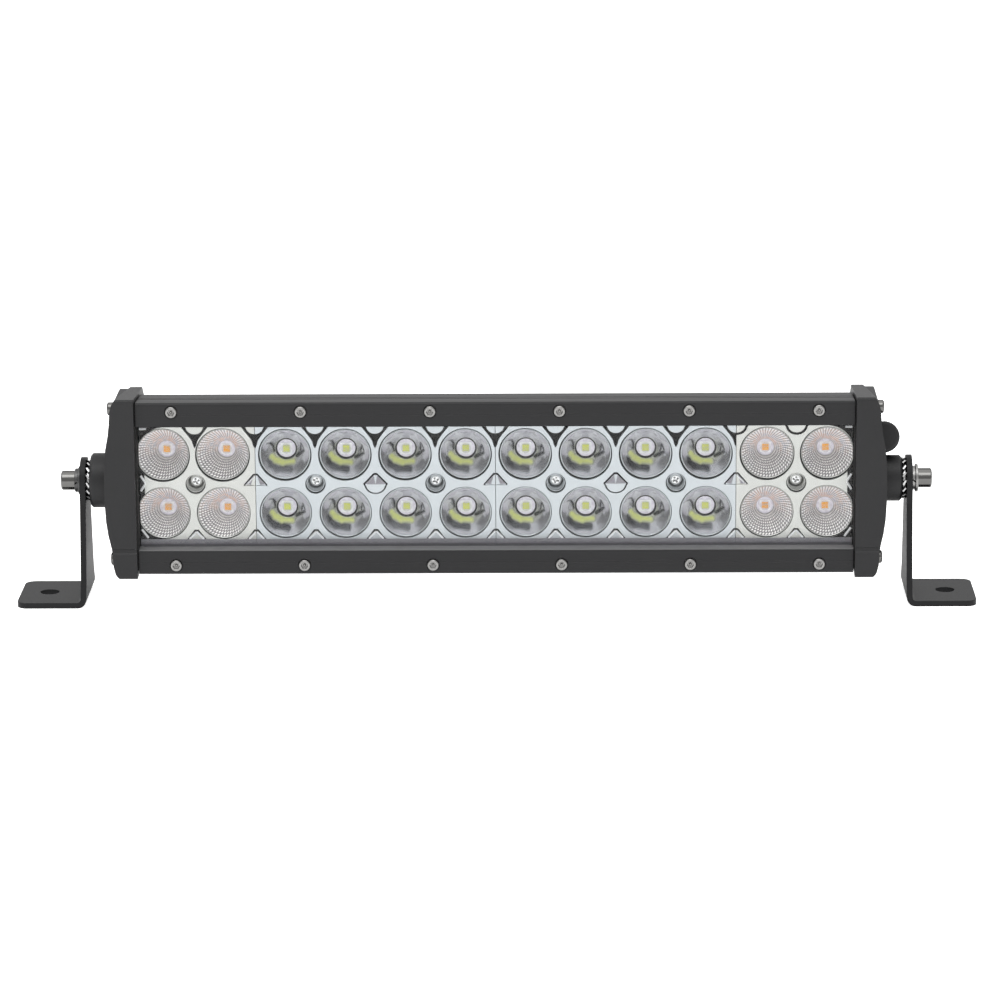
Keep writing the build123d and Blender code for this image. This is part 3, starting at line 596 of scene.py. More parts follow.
WHITE = islands("white_led_dies", 0.006)
AMBER = islands("amber_led_dies", 0.006)
WELLS = islands("reflector_screws", 0.008)
lo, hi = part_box("led_board")
BAR_Z = (lo[2] + hi[2]) / 2
BOARD_FRONT = lo[1]
ALL_X = sorted(set(round(p[0], 5) for p in WHITE + AMBER))
PITCH = ALL_X[1] - ALL_X[0]
ROW = max(p[1] for p in WHITE) - BAR_Z
set_material(NODES["led_board"], led_board_mat(ALL_X[0], BAR_Z, PITCH, ROW))


# ------------------------------------------------------------ mesh helpers
def circle(cx, cz, r, n=72, a0=0.0):
    return [(cx + r * math.cos(a0 + 2 * math.pi * k / n),
             cz + r * math.sin(a0 + 2 * math.pi * k / n)) for k in range(n)]


def inside(poly, p):
    x, y = p
    c = False
    j = len(poly) - 1
    for i in range(len(poly)):
        xi, yi = poly[i]
        xj, yj = poly[j]
        if (yi > y) != (yj > y) and x < (xj - xi) * (y - yi) / (yj - yi) + xi:
            c = not c
        j = i
    return c


def add_plate(bm, outline, holes, y0, y1, front_mat, side_mat, chamfer=0.0):
    """Flat plate with any number of overlapping openings (x, z in metres)."""
    pts, edges = [], []
    for loop in [outline] + holes:
        s = len(pts)
        pts += [Vector((p[0] / MM, p[1] / MM)) for p in loop]
        edges += [(s + i, s + (i + 1) % len(loop)) for i in range(len(loop))]
    vs, _, fs, _, _, _ = delaunay_2d_cdt(pts, edges, [], 0, 1e-4)
    out_mm = [(p[0] / MM, p[1] / MM) for p in outline]
    holes_mm = [[(p[0] / MM, p[1] / MM) for p in h] for h in holes]
    boxes = [(min(p[0] for p in h), max(p[0] for p in h),
              min(p[1] for p in h), max(p[1] for p in h)) for h in holes_mm]
    keep = []
    for f in fs:
        c = ((vs[f[0]][0] + vs[f[1]][0] + vs[f[2]][0]) / 3,
             (vs[f[0]][1] + vs[f[1]][1] + vs[f[2]][1]) / 3)
        if not inside(out_mm, c):
            continue
        if any(b[0] < c[0] < b[1] and b[2] < c[1] < b[3] and inside(h, c)
               for h, b in zip(holes_mm, boxes)):
            continue
        keep.append(f)
    used = sorted(set(i for f in keep for i in f))
    fr, bk = {}, {}
    for i in used:
        x, z = vs[i][0] * MM, vs[i][1] * MM
        fr[i] = bm.verts.new((x, y0, z))
        bk[i] = bm.verts.new((x, y1, z))
    count = {}
    for f in keep:
        a = bm.faces.new([fr[i] for i in f])
        a.material_index = front_mat
        b = bm.faces.new([bk[i] for i in reversed(f)])
        b.material_index = side_mat
        for k in range(3):
            e = (f[k], f[(k + 1) % 3])
            count[e] = count.get(e, 0) + 1
    edge_list = []
    for (a, b) in list(count):
        if (b, a) not in count:
            w = bm.faces.new((fr[b], fr[a], bk[a], bk[b]))
            w.material_index = front_mat
            edge_list.append((fr[a], fr[b]))
    if chamfer:
        es = []
        for a, b in edge_list:
            e = bm.edges.get((a, b))
            if e:
                es.append(e)
        bmesh.ops.bevel(bm, geom=es, offset=chamfer, segments=1,
                        profile=0.5, affect="EDGES", clamp_overlap=True)


def add_revolve(bm, cx, cz, y0, profile, n, smooth=True, mats=None,
                shape=None):
    """Closed ring of revolution about Y.  profile is a closed loop of
    (r, depth) in mm; shape(i, j, r, y) may move a point."""
    rings = []
    for j, (r, y) in enumerate(profile):
        ring = []
        for i in range(n):
            rr, yy = (r, y) if shape is None else shape(i, j, r, y)
            a = 2 * math.pi * i / n
            ring.append(bm.verts.new((cx + rr * MM * math.cos(a),
                                      y0 + yy * MM,
                                      cz + rr * MM * math.sin(a))))
        rings.append(ring)
    m = len(rings)
    for j in range(m):
        a, b = rings[j], rings[(j + 1) % m]
        for i in range(n):
            f = bm.faces.new((a[i], a[(i + 1) % n], b[(i + 1) % n], b[i]))
            f.smooth = smooth if not callable(smooth) else smooth(j)
            f.material_index = 0 if mats is None else mats(j)
    return rings


def clip(poly, a, b, c):
    """Keep the part of a polygon where a*x + b*z <= c."""
    out = []
    for i in range(len(poly)):
        p, q = poly[i], poly[(i + 1) % len(poly)]
        dp = a * p[0] + b * p[1] - c
        dq = a * q[0] + b * q[1] - c
        if dp <= 0:
            out.append(p)
        if (dp < 0 < dq) or (dq < 0 < dp):
            t = dp / (dp - dq)
            out.append((p[0] + (q[0] - p[0]) * t, p[1] + (q[1] - p[1]) * t))
    return out


def pocket(cx, cz, s=1.0):
    """Roof-topped, round-bottomed outline round (cx, cz)."""
    w, top, rb = 5.0 * s, 4.3 * s, 4.7 * s
    w, top = w * 1.06, top * 1.05
    pts = [(0.9 * s, top - 0.1 * s), (0, top + 0.1 * s),
           (-0.9 * s, top - 0.1 * s), (-w, -0.2 * s)]
    pts += [(-rb * math.cos(math.pi * k / 16),
             -0.6 * s - (rb - 0.6 * s) * math.sin(math.pi * k / 16))
            for k in range(1, 16)]
    pts += [(w, -0.2 * s)]
    return [(cx + p[0] * MM, cz + p[1] * MM) for p in pts]


def add_post(bm, outline, y_face, y_tip, y_back, cx, cz, roof=False):
    """Solid post with a pitched front, clipped to its outline."""
    if len(outline) < 3:
        return
    n = len(outline)
    area = sum(outline[i][0] * outline[(i + 1) % n][1]
               - outline[(i + 1) % n][0] * outline[i][1] for i in range(n))
    if area < 0:
        outline = outline[::-1]
    gx = sum(p[0] for p in outline) / n
    gz = sum(p[1] for p in outline) / n
    fr = [bm.verts.new((p[0], y_face, p[1])) for p in outline]
    bk = [bm.verts.new((p[0], y_back, p[1])) for p in outline]
    if roof:
        gz = cz - 0.5 * MM
    tip = bm.verts.new((gx, y_tip, gz))
    for i in range(n):
        j = (i + 1) % n
        f = bm.faces.new((fr[i], fr[j], tip))
        mx = (outline[i][0] + outline[j][0]) / 2 - cx
        mz = (outline[i][1] + outline[j][1]) / 2 - cz
        # painted shade: the upper roof facets of a mid post take the dark skirt material
        if roof and mz > 0.8 * MM and abs(mx) > 1.2 * MM:
            f.material_index = 3
        bm.faces.new((fr[j], fr[i], bk[i], bk[j])).material_index = 0
    bm.faces.new(bk[::-1]).material_index = 1


# ------------------------------------------------------------- reflectors
N_WHITE = 96
N_FLUTES = 50
N_RINGS = 8


def parabola(r_top, r_base, depth):
    q = (r_top / r_base) ** 2
    v = q * depth / (q - 1)
    k = r_top / math.sqrt(v)
    return lambda y: k * math.sqrt(max(v - y, 1e-6))


def capsule(px, pz, ax, az, bx, bz, w, soft=0.28):
    """1 inside a thick segment, falling off softly."""
    dx, dz = bx - ax, bz - az
    t = max(0.0, min(1.0, ((px - ax) * dx + (pz - az) * dz)
                     / (dx * dx + dz * dz)))
    d = math.hypot(px - ax - dx * t, pz - az - dz * t) - w / 2
    return max(0.0, min(1.0, 0.5 - d / (2 * soft)))


def mirror_image(x, z, k):
    """Painted reflections at a point of the dish, in mm: the phosphor image, and the dark
    image with dark reflected strokes; k varies the pattern slightly from cup to cup."""
    a = 0.10 * math.sin(2.1 * k + 0.4)
    x, z = x * math.cos(a) - z * math.sin(a), x * math.sin(a) + z * math.cos(a)
    g = max(capsule(x, z, -6.5, -2.0, -5.0, -4.0, 1.9, 0.5),
            capsule(x, z, -5.0, -4.0, -1.9, -5.6, 2.2, 0.5),
            capsule(x, z, -1.9, -5.6, 2.6, -5.5, 1.7, 0.6))
    d = max(capsule(x, z, -7.0, -4.8, -4.6, -7.2, 2.4, 0.6),
            capsule(x, z, -4.6, -7.2, 1.1, -8.0, 2.4, 0.5),
            capsule(x, z, -7.9, -3.2, -7.0, -5.0, 1.0, 0.5))
    d *= 0.88 + 0.12 * math.sin(3.7 * k)
    s = max(capsule(x, z, -7.4, 4.5, -6.3, 4.2, 0.75),
            capsule(x, z, -6.3, 4.2, -5.5, 2.4, 0.85),
            capsule(x, z, -5.5, 2.4, -5.2, -0.4, 0.75),
            capsule(x, z, 4.2, -3.3, 6.2, -1.9, 1.3),
            capsule(x, z, 6.2, -1.9, 7.9, -0.4, 1.0),
            capsule(x, z, 6.3, -0.8, 6.9, 2.9, 0.6),
            capsule(x, z, 6.9, 2.9, 7.9, 0.6, 0.6))
    s = max(s, 0.6 * capsule(x, z, -1.5 + math.sin(k), 8.2, 0.2, 8.8, 0.7),
            0.55 * capsule(x, z, 3.2, 7.4 + 0.6 * math.sin(2 * k), 4.1, 6.8,
                           0.8))
    return g, max(d * (1 - g), s)


def white_cup(bm, cx, cz, y0, depth):
    paint = bm.verts.layers.float_color["paint"]
    q = (10.45 / 4.72) ** 2
    v = q * depth / (q - 1)
    kk = 10.45 / math.sqrt(v)
    prof = []
    steps = 26
    for t in range(steps + 1):                      # dish, rim to opening
        r = 10.45 + (4.72 - 10.45) * t / steps
        prof.append((r, v - (r / kk) ** 2))
    n_in = len(prof)
    prof += [(4.45, depth + 0.06), (4.20, depth + 0.16),
             (4.20, depth + 0.65), (5.4, depth + 0.65), (5.4, depth)]
    for t in range(6, -1, -1):                      # back of the dish
        y = max(depth * t / 7, 1.8)
        prof.append((kk * math.sqrt(v - y) + 0.55, y))
    prof += [(11.05, 1.5), (11.05, 0.05), (11.00, -0.20), (10.85, -0.36),
             (10.66, -0.32), (10.52, -0.14)]
    last = len(prof)

    def mats(j):
        if n_in - 1 <= j < last - 7:
            return 1
        return 2 if j < n_in - 1 else 0

    rings = add_revolve(bm, cx, cz, y0, prof, 120, True, mats)
    k = round(cx / 0.026) * 2 + (1 if cz > 0.0528 else 0)
    # painted reflections of the phosphor and dark surroundings, stored per vertex
    for ring in rings[:n_in]:
        for vt in ring:
            g, d = mirror_image((vt.co.x - cx) / MM, (vt.co.z - cz) / MM, k)
            vt[paint] = (g, d, 0.0, 1.0)


def amber_cup(bm, cx, cz, y0, depth, off):
    """Dish tiled with pillow facets: flutes across, rings along.  Its base
    is centred on the emitter and its rim leans over by off millimetres."""
    paint = bm.verts.layers.float_color["paint"]
    q = (10.95 / 3.9) ** 2
    v = q * depth / (q - 1)
    k = 10.95 / math.sqrt(v)
    sub = 2
    n = N_FLUTES * sub
    m = N_RINGS * sub
    prof = []
    for t in range(m + 1):
        r = 10.95 + (3.9 - 10.95) * t / m
        prof.append((r, v - (r / k) ** 2))
    n_in = len(prof)
    prof += [(3.75, depth + 0.12), (3.75, depth + 0.65),
             (4.7, depth + 0.65), (4.7, depth)]
    for t in range(9, -1, -2):
        y = max(depth * t / 10, 1.8)
        prof.append((k * math.sqrt(v - y) + 0.95, y))
    prof += [(11.40, 1.5), (11.40, 0.0), (11.32, -0.25), (11.20, -0.30),
             (11.06, -0.20)]
    last = len(prof)
    rings = []
    for j, (r, y) in enumerate(prof):
        ring = []
        for i in range(n):
            rr, yy = r, y
            if j < n_in:
                # outward normal of the dish in the (r, y) plane
                nr, ny = 1.0, r / (k * k) * 2
                ln = math.hypot(nr, ny)
                pi_ = 1.0 if i % sub else 0.0
                pj = 1.0 if j % sub else 0.0
                w = r / 10.95
                push = -0.19 * w * pi_ - 0.13 * pj
                rr += push * nr / ln
                yy += push * ny / ln
                if j == 0:
                    rr += 0.16 if i % sub == 0 else -0.04
            elif j >= last - 2:
                rr += 0.10 if i % sub == 0 else -0.06
            a = 2 * math.pi * i / n
            lean = off * max(0.0, min(1.0, (r - 3.9) / 7.05))
            vt = bm.verts.new((cx + (lean + rr * math.cos(a)) * MM,
                               y0 + yy * MM, cz + rr * MM * math.sin(a)))
            if j < n_in:
                # weights for the painted shade and reflection: facet borders (fainter on
                # the upper part), the upper part of the dish, nearness to the emitter
                up = max(0.0, min(1.0, math.sin(a) * 0.8 + 0.35))
                near = max(0.0, 1.0 - (r - 3.9) / 6.0)
                cell = max(1.0 if i % sub == 0 else 0.0,
                           (1.0 - 0.75 * up) if j % sub == 0 else 0.0)
                vt[paint] = (cell, up * (0.45 + 0.55 * near), near, 1.0)
            ring.append(vt)
        rings.append(ring)
    mm = len(rings)
    for j in range(mm):
        a, b = rings[j], rings[(j + 1) % mm]
        for i in range(n):
            f = bm.faces.new((a[i], a[(i + 1) % n], b[(i + 1) % n], b[i]))
            f.smooth = True
            f.material_index = (1 if n_in + 2 <= j < last - 6
                                else 2 if j < n_in - 1 else 0)
            if j < n_in - 1 and i % sub == 0:
                e = bm.edges.get((a[i], b[i]))
                if e:
                    e.smooth = False
        if j < n_in and j % sub == 0:
            for i in range(n):
                e = bm.edges.get((a[i], a[(i + 1) % n]))
                if e:
                    e.smooth = False


def ridge(bm, pts, w, y0, y1):
    """Thin raised rib along a polyline of (x, z) points in metres."""
    for (ax, az), (bx, bz) in zip(pts, pts[1:]):
        dx, dz = bx - ax, bz - az
        ln = math.hypot(dx, dz)
        px, pz = -dz / ln * w / 2, dx / ln * w / 2
        base = [(ax + px, az + pz), (ax - px, az - pz), (bx - px, bz - pz),
                (bx + px, bz + pz)]
        lo_ = [bm.verts.new((x, y1, z)) for x, z in base]
        top = [bm.verts.new((ax, y0, az)), bm.verts.new((bx, y0, bz))]
        for q in ((lo_[0], lo_[3], top[1], top[0]),
                  (lo_[2], lo_[1], top[0], top[1]),
                  (lo_[1], lo_[0], top[0]), (lo_[3], lo_[2], top[1]),
                  (lo_[0], lo_[1], lo_[2], lo_[3])):
            bm.faces.new(q).material_index = 4


def make_panel(node, leds, amber, mat, plate):
    lo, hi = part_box(node)
    x0, x1, yf = lo[0], hi[0], lo[1]
    z0, z1 = lo[2], hi[2]
    cz = (z0 + z1) / 2
    wells = [w for w in WELLS if x0 < w[0] < x1]
    cols = sorted(set(round(p[0], 5) for p in leds))
    depth = (BOARD_FRONT - yf) / MM - 1.25
    CUP_OFF = -0.95 if x0 < CAD_BOX[0][0] / 2 else 0.35
    left_end = abs(x0 - CAD_BOX[0][0]) < abs(x1 - CAD_BOX[1][0]) and amber
    right_end = amber and not left_end
    bm = bmesh.new()
    bm.verts.layers.float_color.new("paint")
    # outline: square towards a seam, scalloped round the cups at the end
    if left_end or right_end:
        s = -1 if left_end else 1
        ec = cols[0] if left_end else cols[-1]
        seam = x1 if left_end else x0
        arc = []
        R = 12.0 * MM
        for k in range(0, 27):
            a = math.radians(90 - 131 * k / 26)
            px = ec + s * R * math.cos(a)
            px = max(x0, px) if left_end else min(x1, px)
            arc.append((px, cz + ROW + min(R * math.sin(a), z1 - cz - ROW)))
        low = [(p[0], 2 * cz - p[1]) for p in reversed(arc)]
        outline = [(seam, z1)] + arc + low + [(seam, z0)]
        if left_end:
            pass
        else:
            outline = outline[::-1]
    else:
        outline = [(x0, z0), (x1, z0), (x1, z1), (x0, z1)]
    holes, posts = [], []
    for (x, z) in leds:
        up = z > cz
        drop = 0.42 if up else 0.20
        r = 11.05 + (0.48 if up else 0.26)
        if amber:
            r += 0.35
        off = CUP_OFF if amber else 0.0
        holes.append(circle(x + (off - 0.10) * MM, z - drop * MM, r * MM,
                            N_WHITE))
    for (x, z) in wells:
        holes.append(circle(x, z - 0.38 * MM, 4.35 * MM, 40))
    mids = [(a + b) / 2 for a, b in zip(cols, cols[1:])]
    seams = [x for x in (x0, x1)]
    spots = []
    for x in mids + seams:
        real_edge = (x in seams) and ((x == x0 and left_end)
                                      or (x == x1 and right_end))
        if real_edge:
            continue
        spots.append((x, cz + 25.5 * MM, "top"))
        spots.append((x, cz - 25.2 * MM, "bottom"))
        if all(abs(x - w[0]) > 0.004 for w in wells):
            spots.append((x, cz - 0.2 * MM, "mid"))
    for x, z, where in spots:
        if where == "bottom":
            holes.append([(x + a_ * MM, z + b_ * MM) for a_, b_ in
                          ((-4.5, -1.5), (-4.1, 0.3), (-0.9, 4.5),
                           (0.9, 4.5), (4.1, 0.3), (4.5, -1.5))])
            p = [(x + a_ * MM, z + b_ * MM) for a_, b_ in
                 ((-3.4, -1.5), (-3.2, 0.0), (0, 3.6), (3.2, 0.0),
                  (3.4, -1.5))]
        elif where == "mid" and x in seams:
            holes.append([(x + a_ * MM, z + b_ * MM) for a_, b_ in
                          ((-5.0, -0.9), (-4.9, -0.3), (-0.9, 4.4),
                           (0.9, 4.4), (4.9, -0.3), (5.0, -0.9))])
            p = [(x + a_ * MM, z + b_ * MM) for a_, b_ in
                 ((0.7, 3.5), (0, 3.7), (-0.7, 3.5), (-4.3, -0.4),
                  (-4.3, -0.85), (4.3, -0.85), (4.3, -0.4))]
        else:
            holes.append(pocket(x, z))
            p = (pocket(x, z, 0.78) if where == "top"
                 else pocket(x, z - 0.25 * MM, 0.86))
        p = clip(p, -1, 0, -(x0 + 0.05 * MM))
        p = clip(p, 1, 0, x1 - 0.05 * MM)
        p = clip(p, 0, -1, -(z0 + 0.02 * MM))
        p = clip(p, 0, 1, z1 - 0.02 * MM)
        posts.append((p, x, z, where))
        if where == "top" and not right_end:
            # gap between two cups, above the line of their centres
            holes.append([(x + a_ * MM, z + b_ * MM) for a_, b_ in
                          ((-6.2, 1.0), (-5.5, -0.9), (-3.0, -4.1),
                           (-1.7, -5.8), (-1.15, -6.8), (-0.7, -8.6),
                           (-0.2, -9.7), (0.2, -9.7), (0.7, -8.6),
                           (1.15, -6.8), (1.7, -5.8), (3.0, -4.1),
                           (5.5, -0.9), (6.2, 1.0))])
    add_plate(bm, outline, holes, yf, yf + 1.3 * MM, 0, 1, 0.10 * MM)
    for p, x, z, where in posts:
        face = yf + (0.10 if where == "top" else 0.30) * MM
        tip = face - (0.22 * MM if where == "mid" else 0.02 * MM)
        add_post(bm, p, face, tip, yf + 7.0 * MM, x, z, where == "mid")
        # ribs on these posts carry the painted highlight material
        if where == "bottom" or (where == "mid" and x in seams and amber):
            arm = 3.1 if where == "bottom" else 3.3
            top = 3.4 if where == "bottom" else 3.2
            low = 0.2 if where == "bottom" else 0.0
            pts = [(x - arm * MM, z + low * MM), (x, z + top * MM),
                   (x + arm * MM, z + low * MM)]
            if abs(x - x0) < 1e-6:
                pts = pts[1:]
            elif abs(x - x1) < 1e-6:
                pts = pts[:2]
            ridge(bm, pts, 1.0 * MM, face - 0.45 * MM, face + 0.2 * MM)
    # skirt below the plate, towards the lens rebate
    n0 = len(bm.verts)
    zs = (z0 + 0.05 * MM, z0 - 3.2 * MM)
    vs8 = [bm.verts.new((x, y, z)) for x in (x0, x1)
           for y in (yf - 0.15 * MM, yf + 0.5 * MM) for z in zs]
    for q in ((0, 1, 3, 2), (4, 6, 7, 5), (0, 4, 5, 1), (2, 3, 7, 6),
              (0, 2, 6, 4), (1, 5, 7, 3)):
        bm.faces.new([vs8[i] for i in q]).material_index = 3
    for (x, z) in leds:
        if amber:
            amber_cup(bm, x, z, yf, depth, CUP_OFF)
        else:
            white_cup(bm, x, z, yf, depth)
    for (x, z) in wells:
        add_revolve(bm, x, z, yf, [
            (3.62, -0.10), (3.55, 0.4), (3.40, 6.2), (1.75, 6.2),
            (1.75, 11.0), (3.9, 11.0), (3.98, 0.6), (3.98, 0.0),
            (3.88, -0.22), (3.74, -0.24)], 40, True,
            lambda j: 1 if 3 <= j <= 5 else 0)
    # ribs at the end of an amber panel carry the painted highlight material
    if left_end or right_end:
        s = 1 if left_end else -1
        ex = x0 if left_end else x1
        ridge(bm, [(ex + s * 0.5 * MM, cz + 3.4 * MM),
                   (ex + s * 2.6 * MM, cz),
                   (ex + s * 0.5 * MM, cz - 3.4 * MM)], 1.0 * MM,
              yf - 0.45 * MM, yf + 0.4 * MM)
        ridge(bm, [(ex + s * 0.5 * MM, cz - 20.6 * MM),
                   (ex + s * 3.2 * MM, cz - 24.4 * MM)], 1.0 * MM,
              yf - 0.45 * MM, yf + 0.4 * MM)
        ridge(bm, [(ex + s * 0.4 * MM, cz + 24.2 * MM),
                   (ex + s * 3.4 * MM, cz + 24.2 * MM)], 0.9 * MM,
              yf - 0.45 * MM, yf + 0.4 * MM)
    # keep the end cups inside the CAD panel's length
    for v in bm.verts:
        v.co.x = min(max(v.co.x, x0), x1)
    bmesh.ops.recalc_face_normals(bm, faces=bm.faces)
    me = bpy.data.meshes.new(node + "_mirror")
    bm.to_mesh(me)
    bm.free()
    ob = bpy.data.objects.new(node + "_mirror", me)
    bpy.context.scene.collection.objects.link(ob)
    me.materials.append(plate)
    me.materials.append(MATS["reflector_back"])
    me.materials.append(mat)
    me.materials.append(MATS["skirt"])
    me.materials.append(MATS["edge"])
    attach(ob, "light_head")
    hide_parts(node)
    return ob


for node in ("left_amber_reflector", "left_white_reflector",
             "right_white_reflector", "right_amber_reflector"):
    lo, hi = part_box(node)
    amber = "amber" in node
    leds = [p for p in (AMBER if amber else WHITE) if lo[0] < p[0] < hi[0]]
    kind = "amber" if amber else "white"
    make_panel(node, leds, amber, MATS["chrome_" + kind],
               MATS["plate_" + kind])


# ------------------------------------------------------------ screw heads
def sector(a, n):
    """Distance factor of a regular polygon's edge at angle a."""
    s = 2 * math.pi / n
    return 1.0 / math.cos((a % s) - s / 2)


def add_socket_screw(bm, x, z, y0, head_r, head_h, socket, shank_r, y_end):
    """Button head with a hexagon socket and its shank, along +Y."""
    n = 48
    prof = [(head_r, head_h), (head_r, 0.42), (head_r - 0.12, 0.20),
            (head_r - 0.36, 0.04), (head_r - 0.62, 0.0)]
    rings = []

    def ring(fn, y):
        out = []
        for i in range(n):
            a = 2 * math.pi * i / n
            r = fn(a)
            out.append(bm.verts.new((x + r * MM * math.cos(a), y0 + y * MM,
                                     z + r * MM * math.sin(a))))
        rings.append(out)

    ring(lambda a: shank_r, (y_end - y0) / MM)
    ring(lambda a: shank_r, head_h)
    for r, y in prof:
        ring(lambda a, r=r: r, y)
    ring(lambda a: socket * sector(a, 6) + 0.10, 0.06)
    ring(lambda a: socket * sector(a, 6), 0.20)
    ring(lambda a: socket * sector(a, 6) * 0.96, 1.05)
    ring(lambda a: 0.62, 1.30)
    ring(lambda a: 0.42, 0.85)
    ring(lambda a: 0.30, 0.72)
    for j, (p, q) in enumerate(zip(rings, rings[1:])):
        for i in range(n):
            f = bm.faces.new((p[i], p[(i + 1) % n], q[(i + 1) % n], q[i]))
            f.smooth = 2 <= j <= 5
    bm.faces.new(rings[0])
    bm.faces.new(rings[-1])


def add_cross_screw(bm, x, z, y0, head_r, head_h, shank_r, y_end, turn):
    """Pan head with a cross recess and its shank, along +Y."""
    n = 64

    def cross(a, r_out, half):
        # plus-shaped outline: arms of half width 'half', length r_out
        c, s = abs(math.cos(a)), abs(math.sin(a))
        best = min(r_out, half / max(s, 1e-6))
        best = max(best, min(r_out, half / max(c, 1e-6)))
        return max(best, half * 1.15)

    rings = []

    def ring(fn, y):
        out = []
        for i in range(n):
            a = 2 * math.pi * i / n + turn
            r = fn(2 * math.pi * i / n)
            out.append(bm.verts.new((x + r * MM * math.cos(a), y0 + y * MM,
                                     z + r * MM * math.sin(a))))
        rings.append(out)

    ring(lambda a: shank_r, (y_end - y0) / MM)
    ring(lambda a: shank_r, head_h)
    for r, y in ((head_r, head_h), (head_r, 0.95), (head_r - 0.18, 0.50),
                 (head_r - 0.50, 0.20), (head_r - 0.95, 0.02)):
        ring(lambda a, r=r: r, y)
    ring(lambda a: cross(a, 1.42, 0.40), 0.03)
    ring(lambda a: cross(a, 1.15, 0.27), 0.75)
    ring(lambda a: cross(a, 0.55, 0.20), 1.30)
    for j, (p, q) in enumerate(zip(rings, rings[1:])):
        for i in range(n):
            f = bm.faces.new((p[i], p[(i + 1) % n], q[(i + 1) % n], q[i]))
            f.smooth = 2 <= j <= 5
    bm.faces.new(rings[0])
    bm.faces.new(rings[-1])


def finish_piece(bm, name, body, node, mats):
    bmesh.ops.recalc_face_normals(bm, faces=bm.faces)
    me = bpy.data.meshes.new(name)
    bm.to_mesh(me)
    bm.free()
    ob = bpy.data.objects.new(name, me)
    bpy.context.scene.collection.objects.link(ob)
    for m in mats:
        me.materials.append(m)
    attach(ob, body)
    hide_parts(node)
    return ob


for node in ("top_bezel_screws", "bottom_bezel_screws"):
    lo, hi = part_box(node)
    bm = bmesh.new()
    for x, z in islands(node, 0.006):
        add_socket_screw(bm, x, z, lo[1] + 0.0001, 2.45, 1.9, 1.28, 1.5,
                         hi[1])
    finish_piece(bm, node + "_detail", "light_head", node,
                 [MATS["screw_y"]])

lo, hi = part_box("reflector_screws")
bm = bmesh.new()
for k, (x, z) in enumerate(WELLS):
    add_cross_screw(bm, x, z, lo[1], 2.6, 1.95, 1.5, hi[1],
                    0.35 + 0.83 * k)
finish_piece(bm, "reflector_screws_detail", "light_head",
             "reflector_screws", [MATS["screw_bright"]])

# ------------------------------------------------------------------- stage
def make_floor():
    me = bpy.data.meshes.new("floor")
    s = 9.0
    z = CAD_BOX[0][2]
    me.from_pydata([(-s, -s, z), (s, -s, z), (s, s, z), (-s, s, z)], [],
                   [(0, 1, 2, 3)])
    ob = bpy.data.objects.new("floor", me)
    bpy.context.scene.collection.objects.link(ob)
    M = Mat("pale_floor")
    f = M.noise(3.0, 3, 0.5)
    col = M.mix(f, (0.93, 0.93, 0.93), (0.95, 0.95, 0.95))
    lp = M.new("ShaderNodeLightPath")
    pr = M.principled(col, 0.9, 0.0, None, Specular__IOR__Level=0.1,
                      Emission__Color=(1.0, 1.0, 1.0, 1))
    M.link(M.math("MULTIPLY_ADD", lp.outputs["Is Camera Ray"], 0.45, 0.42),
           pr.inputs["Emission Strength"])
    ob.data.materials.append(M.finish(pr))
    M.m.cycles.emission_sampling = "AUTO"


make_floor()

world = bpy.data.worlds.new("studio")
bpy.context.scene.world = world
world.use_nodes = True
W = Mat.__new__(Mat)
W.m = world
W.nt = world.node_tree
W.nt.nodes.clear()
wo = W.new("ShaderNodeOutputWorld")
geo = W.new("ShaderNodeNewGeometry")
sep = W.new("ShaderNodeSeparateXYZ")
W.link(geo.outputs["Incoming"], sep.inputs[0])
# direction looked in, from its incoming vector
wx = W.math("MULTIPLY", sep.outputs["X"], -1.0)
wy = W.math("MULTIPLY", sep.outputs["Y"], -1.0)
wz = W.math("MULTIPLY", sep.outputs["Z"], -1.0)
elev = W.math("MULTIPLY", W.math("ARCSINE", wz), 180 / math.pi)
azim = W.math("MULTIPLY", W.math("ARCTAN2", wx, W.math(
    "MULTIPLY", wy, -1.0)), 180 / math.pi)      # 0 = towards the camera
aabs = W.math("ABSOLUTE", azim)


def band(v, lo, hi, soft):
    """1 between lo and hi with soft edges."""
    up = W.new("ShaderNodeMapRange", interpolation_type="SMOOTHSTEP")
    up.inputs["From Min"].default_value = lo - soft
    up.inputs["From Max"].default_value = lo + soft
    W.link(v, up.inputs["Value"])
    dn = W.new("ShaderNodeMapRange", interpolation_type="SMOOTHSTEP")
    dn.inputs["From Min"].default_value = hi + soft
    dn.inputs["From Max"].default_value = hi - soft
    W.link(v, dn.inputs["Value"])
    return W.math("MULTIPLY", up.outputs[0], dn.outputs[0])


def darken(cur, mask, amount):
    return W.math("MULTIPLY", cur, W.math(
        "SUBTRACT", 1.0, W.math("MULTIPLY", mask, amount)))


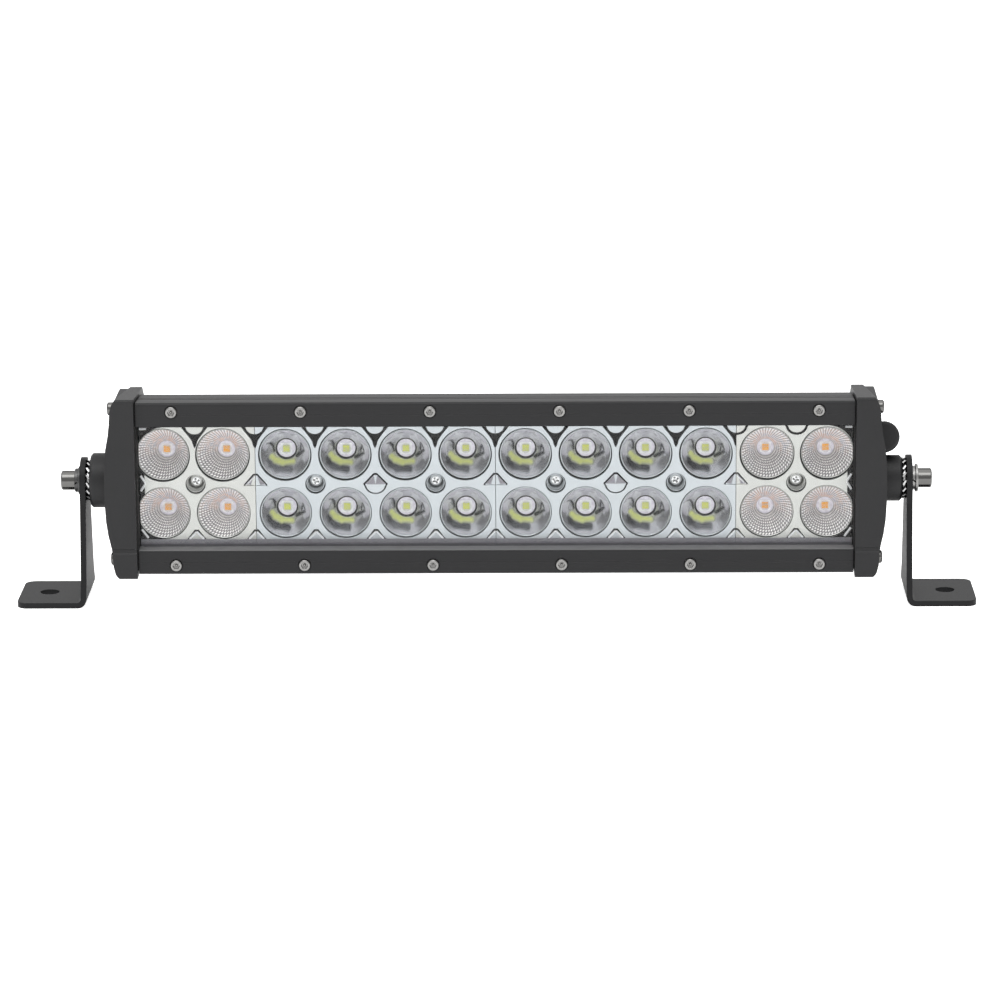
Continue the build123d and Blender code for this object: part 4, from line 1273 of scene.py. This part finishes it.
tone = W.math("ADD", 0.95, 0.0)
tone = darken(tone, band(elev, 34, 50, 5), 0.30)            # ceiling gap
tone = darken(tone, W.math("MULTIPLY", band(aabs, -9, 9, 2),
                           band(elev, 4, 30, 5)), 0.40)     # camera, operator
tone = darken(tone, W.math("MULTIPLY", band(aabs, 38, 62, 4),
                           band(elev, -20, 34, 3)), 0.40)   # gaps beside it
tone = darken(tone, W.math("MULTIPLY", band(aabs, 92, 120, 5),
                           band(elev, -20, 60, 4)), 0.45)
tone = W.math("ADD", tone, W.math("MULTIPLY", band(elev, 60, 95, 5), 0.7))
bg = W.new("ShaderNodeBackground")
comb = W.new("ShaderNodeCombineColor")
for i in range(3):
    W.link(tone, comb.inputs[i])
W.link(comb.outputs[0], bg.inputs["Color"])
bg.inputs["Strength"].default_value = 1.0
seen = W.new("ShaderNodeBackground")
seen.inputs["Color"].default_value = (1, 1, 1, 1)
lp = W.new("ShaderNodeLightPath")
wm = W.new("ShaderNodeMixShader")
W.link(lp.outputs["Is Camera Ray"], wm.inputs[0])
W.link(bg.outputs[0], wm.inputs[1])
W.link(seen.outputs[0], wm.inputs[2])
W.link(wm.outputs[0], wo.inputs["Surface"])


def area(name, loc, target, size, power, shape="RECTANGLE", size_y=None):
    li = bpy.data.lights.new(name, "AREA")
    li.energy = power
    li.shape = shape
    li.size = size
    if size_y:
        li.size_y = size_y
    ob = bpy.data.objects.new(name, li)
    bpy.context.scene.collection.objects.link(ob)
    ob.location = loc
    d = Vector(target) - Vector(loc)
    ob.rotation_euler = d.to_track_quat("-Z", "Y").to_euler()
    return ob


c = Vector(((CAD_BOX[0][0] + CAD_BOX[1][0]) / 2,
            (CAD_BOX[0][1] + CAD_BOX[1][1]) / 2,
            (CAD_BOX[0][2] + CAD_BOX[1][2]) / 2))
area("key_top", (-0.25, -0.75, 1.5), c, 1.6, 11, size_y=0.9)

# camera: solved for this bar's size, looking down at about fifteen degrees
cam_data = bpy.data.cameras.new("camera")
cam_data.sensor_width = 36.0
cam_data.lens = 160.23529039
cam_data.clip_start = 0.05
cam_data.clip_end = 60.0
cam = bpy.data.objects.new("camera", cam_data)
bpy.context.scene.collection.objects.link(cam)
R = Matrix(((0.9998453230181777, 0.0029392547516810716, 0.017340438869303965),
            (0.016100091038899773, 0.2438947654576139, -0.9696680516810453),
            (-0.007079343699417822, 0.9697972489978923,
             0.24380971828232212)))
T = Matrix.Translation((0.035298816205469645, -1.876026822654668,
                        0.5150810332799408))
cam.matrix_world = T @ R.to_4x4()
bpy.context.scene.camera = cam
vs = bpy.context.scene.view_settings
vs.view_transform = "Standard"
vs.look = "None"
vs.exposure = 0.0
